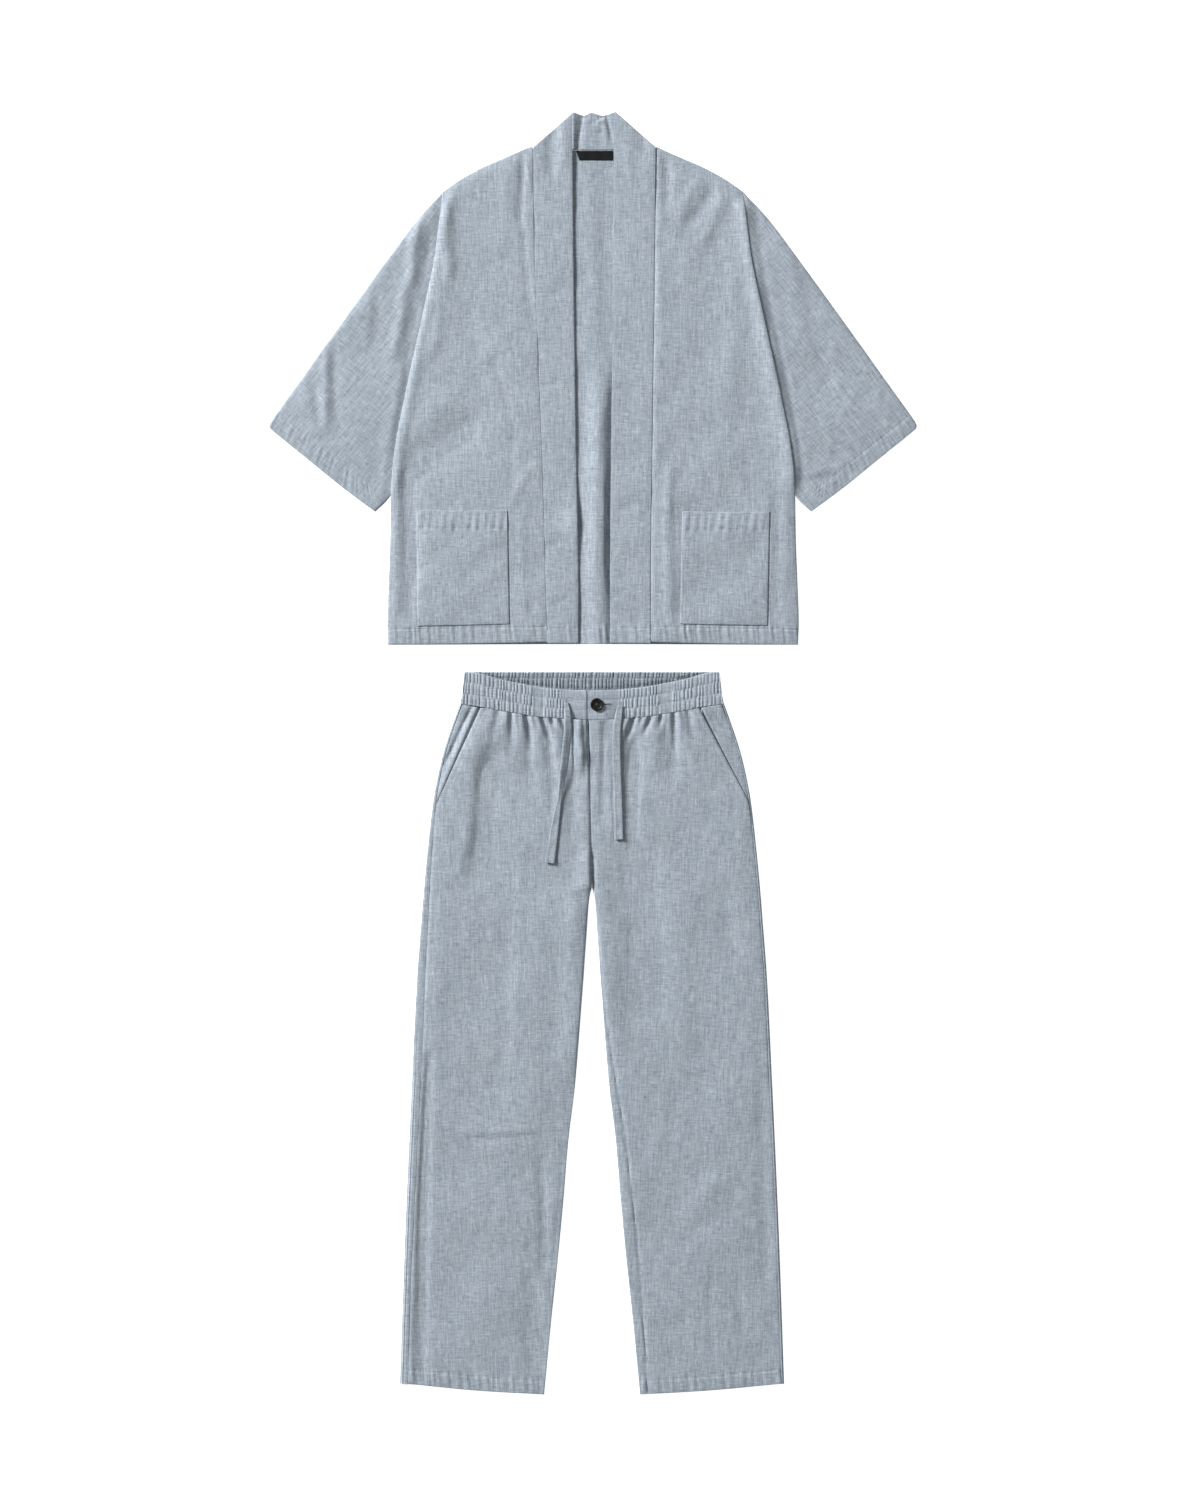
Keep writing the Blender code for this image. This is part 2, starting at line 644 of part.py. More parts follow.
def pocket_facing(side, word, material):
    """The hip piece that shows behind the slanting pocket mouth."""
    slant = SLANT_RIGHT if side > 0 else SLANT_LEFT
    tucked = [Point(point.across - FACING_TUCK, point.down + SEAM) for point in slant]
    tucked[-1] = Point(slant[-1].across - FACING_TUCK, slant[-1].down + 14)
    outer = [Point(point.across - side_inset(side, point.down) - 3 * SEAM, point.down)
             for point in TROUSER_SIDE if point.down < 200]
    outer[0] = Point(outer[0].across + 0.6, 45.6)
    tucked[0] = Point(tucked[0].across, 52.4)
    top = on_side([tucked[0], Point(slant[0].across, 50.6), outer[0]], side)
    bottom = on_side([tucked[-1], outer[-1]], side)

    def height(spot):
        return LAYER + 0.5 * roll(spot.outer, 12) * (1 - ease(spot.inner, FACING_TUCK + 4, FACING_TUCK - 4))

    return panel(f"pocket_facing_{word}", material,
                 (top, bottom, on_side(tucked, side), on_side(outer, side)),
                 even_steps(5), corner_shares(outer), height, CLOTH, place_trousers)


def outline_at(rows, across):
    """How far down an edge lies at a distance from the centre line."""
    ordered = sorted(rows, key=lambda point: point.across)
    return read_table(ordered, "across", "down", abs(across))


def rib_columns(start, end):
    """Two places for each rib, one on its crest and one in its valley, and plain steps in the flat front."""
    columns = [start]
    across = start
    while across < end - RIB_PITCH * 0.6:
        flat = abs(across + RIB_PITCH / 4) < FLAT_WAIST
        across += RIB_PITCH * 2 if flat else RIB_PITCH / 2
        columns.append(min(across, end))
    columns[-1] = end
    return columns


def rib_rise(index, across):
    uneven = 0.8 + 0.25 * math.sin(across * 0.37) + 0.15 * math.sin(across * 0.83 + 1.0)
    return RIB_RISE * uneven * (1 if index % 2 else -1)


def waistband_front(side, word, material):
    """The elastic band's front: ribbed at the sides, plain behind the button, stitched in two rows."""
    if side > 0:
        columns = rib_columns(OVERLAP_START, 183.0)
    else:
        columns = rib_columns(-183.0, UNDERLAP_END)
    profile = [(0.0, -0.8), (0.1, 0.0), (0.34, -0.45), (0.5, 0.1), (0.67, -0.45), (0.9, 0.0), (1.0, -0.7)]
    upper = []
    lower = []
    for share, change in profile:
        row = []
        for index, across in enumerate(columns):
            top = outline_at(WAIST_DIP, across)
            down = top + (outline_at(WAIST_SEAM, across) - top) * share
            ribbed = abs(across) >= FLAT_WAIST
            rise = rib_rise(index, across) if ribbed and 0.0 < share < 1.0 else 0.0
            lean = (1 - share) * max(abs(across) - 174, 0) * 0.5
            thickness = RIBBED_CLOTH if ribbed else RIBBED_CLOTH - 0.6
            height = band_floor(side, across) + thickness + change + rise
            row.append(place_trousers(across - side * lean, down, height))
        upper.append(row)
    for share in (0, -1):
        row = []
        for index, across in enumerate(columns):
            place = upper[share][index].copy()
            place.z = band_floor(side, across) * MM
            row.append(place)
        lower.append(row)
    return slab(f"waistband_front_{word}", material, upper, lower)


def band_floor(side, across):
    if side < 0:
        return BAND_FLOOR
    return BAND_FLOOR + (RIBBED_CLOTH - 0.2) * (1 - ease(across, UNDERLAP_END + 2, FLAT_WAIST + 2))


def waistband_back(material):
    """The elastic band's back, seen from its inside over the dipping front."""
    count = int(2 * 178 / RIB_PITCH * 2)
    profile = [(0.0, -0.6), (0.12, 0.0), (0.24, -0.5), (1.0, -0.2)]
    upper = []
    for share, change in profile:
        row = []
        for index in range(count + 1):
            place = 2 * index / count - 1
            side = 1 if place > 0 else -1
            edge = read_table(BACK_BAND_SIDE, "down", "across", share * 42)
            across = place * edge
            rise = rib_rise(index, across) if 0.0 < share and 0 < index < count else 0.0
            height = RIBBED_CLOTH + change + rise
            row.append(place_trousers(across, share * 42, height))
        upper.append(row)
    lower = [[place.copy() for place in upper[0]], [place.copy() for place in upper[-1]]]
    for row in lower:
        for place in row:
            place.z = 0.0
    return slab("waistband_back", material, upper, lower)


def smooth_route(rows, steps):
    """Places on a smooth curve through a tape's stations, by the Catmull-Rom rule."""
    route = []
    for index in range(len(rows) - 1):
        a = rows[max(index - 1, 0)]
        b = rows[index]
        c = rows[index + 1]
        d = rows[min(index + 2, len(rows) - 1)]
        for step in range(steps):
            t = step / steps
            weights = (
                (-t + 2 * t * t - t ** 3) / 2, (2 - 5 * t * t + 3 * t ** 3) / 2,
                (t + 4 * t * t - 3 * t ** 3) / 2, (t ** 3 - t * t) / 2,
            )
            route.append(Tape(*[sum(w * row[i] for w, row in zip(weights, (a, b, c, d))) for i in range(4)]))
    route.append(rows[-1])
    return route


def drawstring(rows, under, word, material):
    """A flat tape that leaves its eyelet and lies down the front."""
    read = surface_reader(under)
    route = smooth_route(rows, 4)
    upper = []
    lower = []
    for index, station in enumerate(route):
        before = route[max(index - 1, 0)]
        after = route[min(index + 1, len(route) - 1)]
        run = Vector((after.across - before.across, after.down - before.down)).normalized()
        side = Vector((run.y, -run.x))
        centre = Vector((station.across, station.down))
        probes = [centre + side * station.half * share for share in (-1.0, -0.5, 0.0, 0.5, 1.0)]
        probes += [probe + run * reach for probe in probes[:5] for reach in (-7.0, 7.0)]
        spots = [place_trousers(probe.x, probe.y, 0.0) for probe in probes]
        low = max(read(spot.x, spot.y) for spot in spots) / MM + station.lift
        upper_row = []
        lower_row = []
        for share, rise in ((-1.0, 0.35), (-0.6, 0.0), (0.6, 0.0), (1.0, 0.35)):
            at = centre + side * station.half * share
            lower_row.append(place_trousers(at.x, at.y, low + rise))
            upper_row.append(place_trousers(at.x, at.y, low + TAPE_CLOTH - rise))
        upper.append(upper_row)
        lower.append(lower_row)
    return wall(f"drawstring_{word}", material, upper, lower)


def button(under, material):
    """A turned button: flat rim, dished face and four holes for its thread."""
    read = surface_reader(under)
    place = place_trousers(BUTTON_AT.across, BUTTON_AT.down, 0.0)
    reach = BUTTON_DIAMETER / 2 * MM
    rim = [(read(place.x + reach * math.cos(a), place.y + reach * math.sin(a))) for a in range(7)]
    floor = max(rim + [read(place.x, place.y)]) + SEAM * MM
    radius = BUTTON_DIAMETER / 2
    profile = [
        (radius - 1.6, 0.0), (radius - 0.3, 0.7), (radius, 1.5), (radius - 0.4, BUTTON_HEIGHT - 0.3),
        (radius - 1.2, BUTTON_HEIGHT), (radius - 2.0, BUTTON_HEIGHT - 0.2), (radius - 3.0, BUTTON_HEIGHT - 0.9),
    ]
    sides = 28
    vertices = []
    for index in range(sides):
        angle = 2 * math.pi * index / sides
        for reach_out, height in profile:
            vertices.append((place.x + reach_out * MM * math.cos(angle),
                             place.y + reach_out * MM * math.sin(angle), floor + height * MM))
    rings = len(profile)
    faces = []
    for index in range(sides):
        after = (index + 1) % sides
        for ring in range(rings - 1):
            faces.append((index * rings + ring, after * rings + ring,
                          after * rings + ring + 1, index * rings + ring + 1))
    faces.append([index * rings for index in range(sides)][::-1])
    faces.append([index * rings + rings - 1 for index in range(sides)])
    item = make_object("button", material, vertices, faces)
    for index in range(4):
        angle = math.radians(45 + 90 * index)
        bpy.ops.mesh.primitive_cylinder_add(
            vertices=8, radius=0.9 * MM, depth=12 * MM,
            location=(place.x + 2.1 * MM * math.cos(angle), place.y + 2.1 * MM * math.sin(angle), floor),
        )
        cutter = bpy.context.object
        cutter.name = f"thread_hole_cutter_{index}"
        cutter.hide_render = True
        cutter.display_type = "WIRE"
        cut = item.modifiers.new(f"thread_hole_{index}", "BOOLEAN")
        cut.operation = "DIFFERENCE"
        cut.solver = "EXACT"
        cut.object = cutter
    return item


def build():
    clear_scene()
    cloth = make_material("blue_grey_cloth", CLOTH_COLOUR, 0.9)
    inner_cloth = make_material("blue_grey_cloth_inside", INNER_CLOTH_COLOUR, 0.9)
    tape = make_material("drawstring_tape", TAPE_COLOUR, 0.9)
    label = make_material("label_satin", LABEL_COLOUR, 0.6)
    horn = make_material("button_horn", BUTTON_COLOUR, 0.35)

    jacket_back(inner_cloth)
    neckband_back(inner_cloth)
    neck_label(label)
    fronts = {}
    for side, word in ((-1, "left"), (1, "right")):
        sleeve(side, word, cloth)
        fronts[word] = jacket_front(side, word, cloth)
        neckband(side, word, cloth)
    pocket(POCKET_LEFT, fronts["left"], "left", cloth)
    pocket(POCKET_RIGHT, fronts["right"], "right", cloth)

    waistband_back(inner_cloth)
    carriers = {}
    for side, word in ((-1, "left"), (1, "right")):
        back_leg(side, word, cloth)
        pocket_facing(side, word, cloth)
        leg = front_leg(side, word, cloth)
        band = waistband_front(side, word, cloth)
        carriers[word] = [leg, band]
    drawstring(STRING_LEFT, carriers["left"], "left", tape)
    drawstring(STRING_RIGHT, carriers["right"], "right", tape)
    button([carriers["right"][1]], horn)


build()
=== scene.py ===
# Dresses the kimono set that lies flat on the floor: the jacket above, the drawstring trousers below.
# Outlines and heights are in millimetres: across from a garment's centre line and down from its top.
# Left and right are as seen from above.

import math
from collections import namedtuple

import bmesh
import bpy
import numpy as np
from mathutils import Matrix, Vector
from mathutils.bvhtree import BVHTree


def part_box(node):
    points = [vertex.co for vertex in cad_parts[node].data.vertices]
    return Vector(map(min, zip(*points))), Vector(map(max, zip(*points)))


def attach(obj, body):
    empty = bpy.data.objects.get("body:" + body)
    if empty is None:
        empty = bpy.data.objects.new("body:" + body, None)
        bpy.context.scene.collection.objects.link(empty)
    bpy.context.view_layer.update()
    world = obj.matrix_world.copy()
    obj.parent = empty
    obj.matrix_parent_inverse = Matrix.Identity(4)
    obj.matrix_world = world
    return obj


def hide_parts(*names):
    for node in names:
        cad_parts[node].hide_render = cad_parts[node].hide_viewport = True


bl_info = {
    "name": "Kimono Set Laid Flat",
    "version": (1, 0, 0),
    "blender": (4, 5, 0),
    "location": "View3D > Sidebar > Kimono Set",
    "description": "Makes the cloth, seams and fittings of a kimono jacket and its drawstring trousers",
    "category": "Add Mesh",
}

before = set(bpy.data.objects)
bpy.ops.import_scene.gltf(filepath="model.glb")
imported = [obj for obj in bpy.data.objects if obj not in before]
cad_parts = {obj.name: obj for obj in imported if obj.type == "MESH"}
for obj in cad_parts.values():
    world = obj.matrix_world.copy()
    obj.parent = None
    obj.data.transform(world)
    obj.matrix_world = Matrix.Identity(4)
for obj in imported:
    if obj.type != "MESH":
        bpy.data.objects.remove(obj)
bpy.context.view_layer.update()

MM = 0.001

# Places of the two garments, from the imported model
JACKET_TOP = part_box("neckband_back")[1].y / MM
TROUSER_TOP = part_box("waistband_back")[1].y / MM
TROUSER_SHIFT = (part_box("waistband_back")[0].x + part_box("waistband_back")[1].x) / 2 / MM

# Layers of the solids, in millimetres
CLOTH = 1.2
SEAM = 0.3
LAYER = CLOTH + SEAM
BAND_CLOTH = 2.4
RIBBED_CLOTH = 2.6
BAND_FLOOR = 3.6
TURN_HEIGHT = 3.2
FACING_TUCK = 12.0
FLY_UNDERLAP = 4.0
FLAT_WAIST = 38.0
UNDERLAP_END = 14.0
OVERLAP_START = -5.0

# Walls of the dressed pieces, in millimetres
FRONT_WALL = 1.0
BAND_WALL = 2.1
POCKET_WALL = 0.9
LABEL_WALL = 0.45

# Runs of the cloth, in millimetres
JACKET_HEM_DOWN = 745
SLEEVE_RUN = 330
SLEEVE_WIDTH = 320
BAND_RUN = 744
LEG_RUN = 955
BACK_BAND_DEPTH = 42
FRONT_BAND_DEPTH = 41
FRONT_BAND_END = 183.0

# Where the waistband's casing lies plain between its gathers, from and to
PLAIN_STRETCHES = ((-81.0, -70.0), (97.0, 112.0))
# How far down the casing its two rows of stitches lie, as shares of its depth
CASING_ROWS = (0.335, 0.665)
BACK_CASING_ROW = 0.205

# The stage, in metres
FLOOR_SIZE = 14.0
FLOOR_DROP = 0.0004
KEY_LIGHT_AT = (-8.4, 6.2, 5.3)
KEY_LIGHT_SIZE = 2.6

Point = namedtuple("Point", "across down")
Band = namedtuple("Band", "down seam edge")
Fold = namedtuple("Fold", "across down to_across to_down width height")
Turn = namedtuple("Turn", "down inset")
Tape = namedtuple("Tape", "across down lift half tilt")
Spot = namedtuple("Spot", "across down inner outer top bottom")


def rows_of(kind, *rows):
    """A table's rows, each with its kind's named columns."""
    return [kind(*row) for row in rows]


SIDES = ((-1, "left"), (1, "right"))

# Jacket outlines, for the half on the right
SHOULDER = rows_of(
    Point,
    (98, 53), (118, 62), (137, 70), (155, 78), (172, 87), (186, 95), (199, 104), (210, 112))
ARMHOLE = rows_of(
    Point,
    (210, 112), (215, 150), (222, 204), (233, 258), (244.5, 310), (256, 362), (267, 415), (275, 455),
    (281, 500), (283, 537))
JACKET_SIDE = rows_of(Point, (284, 599), (286, 655), (288, 711), (287, 746))
SLEEVE_TOP = rows_of(
    Point,
    (210, 112), (246, 151), (288, 207), (349, 291), (409, 375), (449, 431), (453, 441))
CUFF = rows_of(Point, (453, 441), (447, 448), (400, 486), (352, 525), (305, 560))
SLEEVE_UNDER = rows_of(Point, (283, 537), (291, 547), (305, 560))
NECK_LEFT = Point(-84, 50)
NECK_RIGHT = Point(88, 50)
PEAK_LEFT = Point(-27, 0)
PEAK_RIGHT = Point(31, 0)
COLLAR_TOP = [PEAK_LEFT, Point(-13, 5), Point(-2, 1), Point(14, 5), PEAK_RIGHT]
NECKLINE = [NECK_LEFT, Point(-40, 53), Point(0, 54), Point(44, 53), NECK_RIGHT]
BAND_LEFT = rows_of(
    Band,
    (50, -84, -28), (183, -82, -27), (333, -77, -25), (483, -71, -23), (633, -67, -20), (744, -64, -20))
BAND_RIGHT = rows_of(
    Band,
    (50, 88, 29), (183, 87, 28), (333, 85, 27), (483, 83, 25), (633, 81, 24), (744, 81, 24))
POCKET_LEFT = rows_of(Point, (-247, 557), (-120, 558), (-117, 717), (-245, 720))
POCKET_RIGHT = rows_of(Point, (247, 560), (125, 559), (122, 717), (244, 719))
LABEL = rows_of(Point, (-23.5, 54.8), (30, 54.8), (30, 68), (-19, 68))

# Trouser outlines, for the half on the right
TROUSER_SIDE = rows_of(
    Point,
    (184, 42.3), (193, 67), (207, 109), (217, 151), (224, 193), (233, 277), (240, 361), (246, 445),
    (252, 571), (258, 700), (263, 823), (269, 996))
INNER_LEG = rows_of(
    Point,
    (0.2, 302), (4, 319), (7, 361), (10, 403), (13, 445), (23, 571), (33, 655), (40, 739), (48, 823),
    (57, 907), (67, 1011))
TROUSER_HEM = rows_of(Point, (67, 1011), (168, 1005), (269, 996))
FLY_LINE = rows_of(Point, (-5, 67), (-4, 80), (-2.2, 179), (0.2, 302))
WAIST_DIP = rows_of(Point, (178, 0), (162, 1), (129, 10), (100, 16), (79, 20), (39, 24.5), (0, 26))
WAIST_SEAM = rows_of(
    Point,
    (184, 45), (148, 50), (129, 54), (98, 59), (80, 62), (50, 64.5), (22, 66), (0, 67))
BACK_BAND_SIDE = rows_of(Point, (178, 0), (179, 17), (184, 42))
SLANT_LEFT = rows_of(Point, (156, 50), (216.6, 181))
SLANT_RIGHT = rows_of(Point, (150, 50), (218, 180))
TURN_LEFT = rows_of(Turn, (42, 3), (179, 4), (263, 7), (463, 12), (664, 12), (864, 10), (1000, 11))
TURN_RIGHT = rows_of(Turn, (42, 3), (179, 3), (463, 4), (1000, 4))
INNER_SEAM_RIGHT = rows_of(Point, (5, 330), (20, 489), (45, 638), (63, 788), (76, 963), (78, 1008))

STRING_LEFT = rows_of(
    Tape,
    (-36, 43, 0.4, 2.6, 0.5), (-34.4, 57, 1.2, 4.4, 2.2), (-33.8, 83, 2.0, 5.5, 3.6),
    (-36.4, 109, 2.4, 5.6, 4.0), (-39.3, 135, 2.4, 5.2, 4.0), (-42.2, 155, 2.0, 4.0, 2.8),
    (-44.9, 176, 1.6, 2.8, 1.2), (-48.3, 195, 1.2, 4.3, 0.4), (-53.2, 226, 0.9, 5.8, 0.0),
    (-59, 267, 0.8, 6.7, 0.0))
STRING_RIGHT = rows_of(
    Tape,
    (40, 47, 0.6, 3.6, 0.6), (37, 62, 0.8, 5.0, 0.6), (34.5, 84, 0.7, 5.5, 0.4),
    (34.5, 118, 0.5, 5.6, 0.2), (35.5, 151, 0.4, 5.6, 0.0), (37, 200, 0.4, 5.7, 0.0),
    (37.8, 234, 0.4, 6.1, 0.0))
BUTTON_AT = Point(6.8, 45.6)

# Soft folds, each from one place to another: ridges, or troughs where height is below zero
JACKET_FOLDS = rows_of(
    Fold,
    (-203, 122, -205, 240, 10, 2.5), (-212, 240, -230, 350, 10, 1.3), (-99, 58, -101, 160, 6, -1.3),
    (-100, 150, -84, 300, 6, -0.7), (-92, 62, -88, 110, 5, 0.6), (-120, 80, -128, 200, 10, 0.5),
    (-168, 430, -262, 522, 24, -2.2), (-180, 385, -258, 455, 18, 0.9), (-172, 270, -160, 350, 12, -0.7),
    (-139, 350, -113, 430, 6, -0.4), (-113, 430, -112, 545, 6, -0.4), (-80, 492, -121, 554, 8, 0.6),
    (-257, 510, -256, 705, 10.5, -2.5), (-277, 500, -278, 730, 7, 0.9), (-100, 560, -96, 735, 7, 0.5),
    (-190, 215, -215, 330, 14, 0.6), (102, 62, 104, 135, 7, -1.2), (166, 108, 128, 172, 9, -1.3),
    (146, 96, 118, 150, 8, 0.9), (184, 122, 150, 184, 9, 0.9), (198, 170, 190, 440, 15, 0.9),
    (150, 220, 155, 480, 20, -0.5), (106, 500, 107, 735, 8, 1.2), (92, 150, 95, 420, 9, 0.4),
    (256, 520, 258, 700, 8, -0.8), (240, 300, 262, 470, 12, 0.5), (118, 180, 122, 330, 9, -0.3))
SLEEVE_FOLDS = rows_of(
    Fold,
    (-243, 155, -258, 245, 8.5, 2.8), (-260, 240, -282, 350, 9, 2.0), (-228, 165, -240, 250, 7, -1.3),
    (-248, 260, -262, 380, 8, -1.1), (-311, 270, -318, 330, 9, 0.6), (-301, 250, -306, 330, 8, -0.7),
    (-376, 335, -372, 445, 7.5, 2.0), (-362, 335, -358, 440, 7, -0.9), (-404, 380, -388, 455, 7, 0.7),
    (-395, 372, -380, 440, 6, -0.6), (-330, 370, -344, 490, 16, 0.5), (-296, 430, -306, 540, 11, -0.6),
    (-270, 420, -284, 520, 10, 0.6), (262, 175, 300, 330, 13, 0.8), (300, 262, 335, 390, 12, -0.6),
    (340, 330, 355, 450, 15, 0.6), (344, 335, 372, 356, 6, -0.6), (404, 398, 430, 424, 6, -0.8),
    (392, 402, 412, 430, 6, 0.6), (300, 506, 372, 490, 6, 0.6), (300, 516, 345, 508, 5, -0.5),
    (310, 400, 318, 500, 12, -0.5), (270, 120, 330, 215, 8, 0.5))
TROUSER_FOLDS = rows_of(
    Fold,
    (-139, 112, -160, 285, 19, -2.5), (-160, 100, -184, 290, 12, 1.4), (-112, 76, -114, 120, 6, -0.8),
    (-89, 80, -84, 165, 7, -1.1), (-62, 84, -60, 130, 6, -1.0), (-47, 80, -46, 200, 8, 0.7),
    (-13.5, 64, -9.5, 128, 6.5, 4.0), (-22, 64, -18, 136, 8, 2.4), (-32, 80, -28, 230, 7, -1.1),
    (34, 72, 36, 232, 8, 0.8), (58.5, 70, 58, 240, 9, -2.9), (27, 135, 26, 236, 4, 0.6),
    (-53, 122, -57, 205, 8, -1.3), (16, 72, 14, 210, 3.5, -0.9), (92, 72, 88, 140, 9, 0.9),
    (106, 74, 112, 150, 8, -0.9), (128, 70, 150, 170, 10, 0.7), (58, 255, 88, 480, 24, -2.9),
    (14, 315, 30, 540, 20, 1.5), (-16, 310, -28, 560, 22, 2.2), (182, 300, 198, 405, 12, -0.8),
    (120, 280, 136, 700, 18, 0.5), (-70, 330, -96, 640, 22, 0.7), (-120, 200, -126, 600, 9, -0.3),
    (-100, 230, -106, 560, 7, 0.3), (-182, 644, -66, 640, 5, 0.7), (-170, 653, -70, 649, 5, -0.6),
    (-70, 685, -67, 835, 7, -1.3), (-88, 850, -72, 990, 14, -1.6), (-230, 540, -239, 990, 7, -2.4),
    (-214, 330, -222, 560, 12, 0.4), (130, 762, 194, 700, 14, 1.0), (140, 790, 200, 740, 12, -0.6),
    (166, 840, 168, 965, 6, -0.4), (207, 850, 206, 935, 7, -0.5), (100, 560, 90, 700, 12, 0.5),
    (232, 480, 246, 880, 8, -0.5), (-150, 780, -156, 960, 10, 0.3))
GATHERS = rows_of(
    Fold,
    (-113, 54, -113, 74, 3, -1.8), (-93, 56, -88, 82, 3.4, -2.8), (-71, 60, -62, 84, 3.4, -2.8),
    (-56, 63, -55, 70, 2.6, -1.6), (-44, 64, -39, 76, 3, -1.9), (-130, 52, -136, 80, 5, -1.0),
    (-12, 66, -10, 110, 3.4, -1.8), (58, 65, 52, 84, 3.6, -2.6), (83, 61, 77, 77, 3, -1.9),
    (98, 59, 96, 70, 2.6, -1.5), (115, 54, 116, 90, 3.4, -2.2), (134, 51, 138, 76, 4, -1.2),
    (-82, 59, -80, 68, 2.4, -0.5), (70, 62, 68, 71, 2.4, -0.5), (125, 53, 128, 64, 2.4, -0.5))
BACK_FOLDS = rows_of(
    Fold,
    (-16, 430, -14, 700, 3.5, -0.3), (0, 84, 1, 390, 13, 1.3), (-4, 80, -8, 330, 6, 0.25),
    (15, 120, 13, 330, 5, -0.3))
HIP_FOLDS = rows_of(
    Fold,
    (-166, 46, -207, 130, 2.7, -2.3), (168, 50, 192, 92, 3.2, -0.9), (160, 50, 176, 84, 2.6, -0.6))
COLLAR_FOLDS = rows_of(
    Fold,
    (-5, 0, -13, 54, 5, 0.7), (19, 4, 27, 46, 2.4, -1.3), (13, 0, 20, 50, 4, 0.7),
    (0, 20, -1, 54, 8, 0.5), (8, 9, 17, 8, 2.2, -1.0), (6, 14, 15, 14, 2.4, 0.9),
    (10, 20, 13, 30, 3.5, -0.5), (-6, 2, -9, 12, 2.5, -0.5))
NECKBAND_FOLDS = rows_of(
    Fold,
    (-54, 22, -61, 92, 8, -1.1), (-40, 20, -42, 80, 7, 0.7), (-66, 608, -30, 600, 7, -0.5),
    (-70, 386, -42, 374, 5, -0.5), (-66, 258, -38, 250, 5, -0.35), (-50, 470, -30, 480, 5, -0.35),
    (64, 18, 76, 62, 6, -0.7), (50, 30, 52, 110, 8, 0.6), (34, 556, 62, 549, 5, -0.4),
    (40, 380, 66, 388, 6, -0.35), (34, 655, 58, 648, 5, -0.35), (-60, 690, -34, 682, 5, -0.4))


# Lines and patches

def mirrored(points):
    """The points on the other side of the centre line."""
    return [Point(-point.across, point.down) for point in points]


def on_side(points, side):
    """Points drawn for the right half, kept or mirrored."""
    return points if side > 0 else mirrored(points)


def between(a, b, c, d, share):
    """A place between b and c on the smooth curve through four places, by the Catmull-Rom rule."""
    return (2 * b + (c - a) * share + (2 * a - 5 * b + 4 * c - d) * share * share
            + (3 * b - a - 3 * c + d) * share ** 3) / 2


def curve(points, parts=8):
    """A smooth line through an outline's points."""
    corners = np.array(points, float)
    ends = np.vstack([2 * corners[0] - corners[1], corners, 2 * corners[-1] - corners[-2]])
    places = []
    for index in range(len(corners) - 1):
        places += [between(*ends[index:index + 4], share) for share in np.arange(parts) / parts]
    places.append(corners[-1])
    return np.array(places)


def line(points):
    """A straight line through some places."""
    return np.array(points, float)


def joined(*parts):
    """Several lines end to end, each starting where the last one ends."""
    return np.vstack([parts[0]] + [part[1:] for part in parts[1:]])


def along(places, shares):
    """The places at given shares of a line's length."""
    steps = np.hypot(*np.diff(places, axis=0).T)
    reached = np.concatenate([[0.0], np.cumsum(steps)])
    at = np.asarray(shares) * reached[-1]
    return np.stack([np.interp(at, reached, places[:, axis]) for axis in (0, 1)], axis=-1)


def length_of(places):
    """The length of a line."""
    return float(np.hypot(*np.diff(places, axis=0).T).sum())


def patch(outline, us, vs):
    """A grid of places inside four outlines: top, bottom, inner and outer edge."""
    top, bottom, inner, outer = outline
    u = np.asarray(us)[None, :, None]
    v = np.asarray(vs)[:, None, None]
    corners = (1 - u) * (1 - v) * top[0] + u * (1 - v) * top[-1]
    corners = corners + (1 - u) * v * bottom[0] + u * v * bottom[-1]
    across = (1 - v) * along(top, us)[None] + v * along(bottom, us)[None]
    return across + (1 - u) * along(inner, vs)[:, None] + u * along(outer, vs)[:, None] - corners


def spots_of(outline, us, vs):
    """The grid's places, each with its distance from the four edges."""
    grid = patch(outline, us, vs)
    width = np.linalg.norm(grid[:, -1] - grid[:, 0], axis=-1)[:, None]
    length = np.linalg.norm(grid[-1] - grid[0], axis=-1)[None, :]
    u = np.asarray(us)[None, :]
    v = np.asarray(vs)[:, None]
    return Spot(grid[..., 0], grid[..., 1], u * width, (1 - u) * width, v * length, (1 - v) * length)


def nearest_edge(spot):
    """Each place's distance from the nearest of its patch's four edges."""
    return np.minimum(np.minimum(spot.inner, spot.outer), np.minimum(spot.top, spot.bottom))


def steps_for(length, step, edge=1.2):
    """Shares along an edge at a given step, closer at both ends where the cloth rolls over."""
    count = max(int(round(length / step)), 2)
    near = min(edge / length, 0.2)
    middle = near * 2 + (1 - near * 4) * np.arange(count + 1) / count
    return np.concatenate([[0.0, near * 0.4, near], middle, [1 - near, 1 - near * 0.4, 1.0]])


def read_table(rows, key, value, at):
    """A column of a table, read between its rows at places in another column."""
    return np.interp(at, [getattr(row, key) for row in rows], [getattr(row, value) for row in rows])


def outline_down(rows, across):
    """How far down an edge lies at a distance from the centre line."""
    smooth = curve(rows)
    order = np.argsort(smooth[:, 0])
    return np.interp(np.abs(across), smooth[order, 0], smooth[order, 1])


# Heights

def roll(distance, reach):
    """A round shoulder: 0 at the edge, level from the reach on."""
    share = np.clip(np.asarray(distance) / reach, 0.0, 1.0)
    return np.sqrt(1 - (1 - share) ** 2)


def ease(value, start, end):
    """A soft step from 0 to 1."""
    share = np.clip((np.asarray(value) - start) / (end - start), 0.0, 1.0)
    return share * share * (3 - 2 * share)


def bell(distance, width):
    """A soft bump, 1 in its middle."""
    return np.exp(-(np.asarray(distance) / width) ** 2)


def above(height, floor):
    """The height, kept softly from sinking below a floor."""
    over = height - floor
    return floor + (over + np.sqrt(over * over + 0.25)) / 2


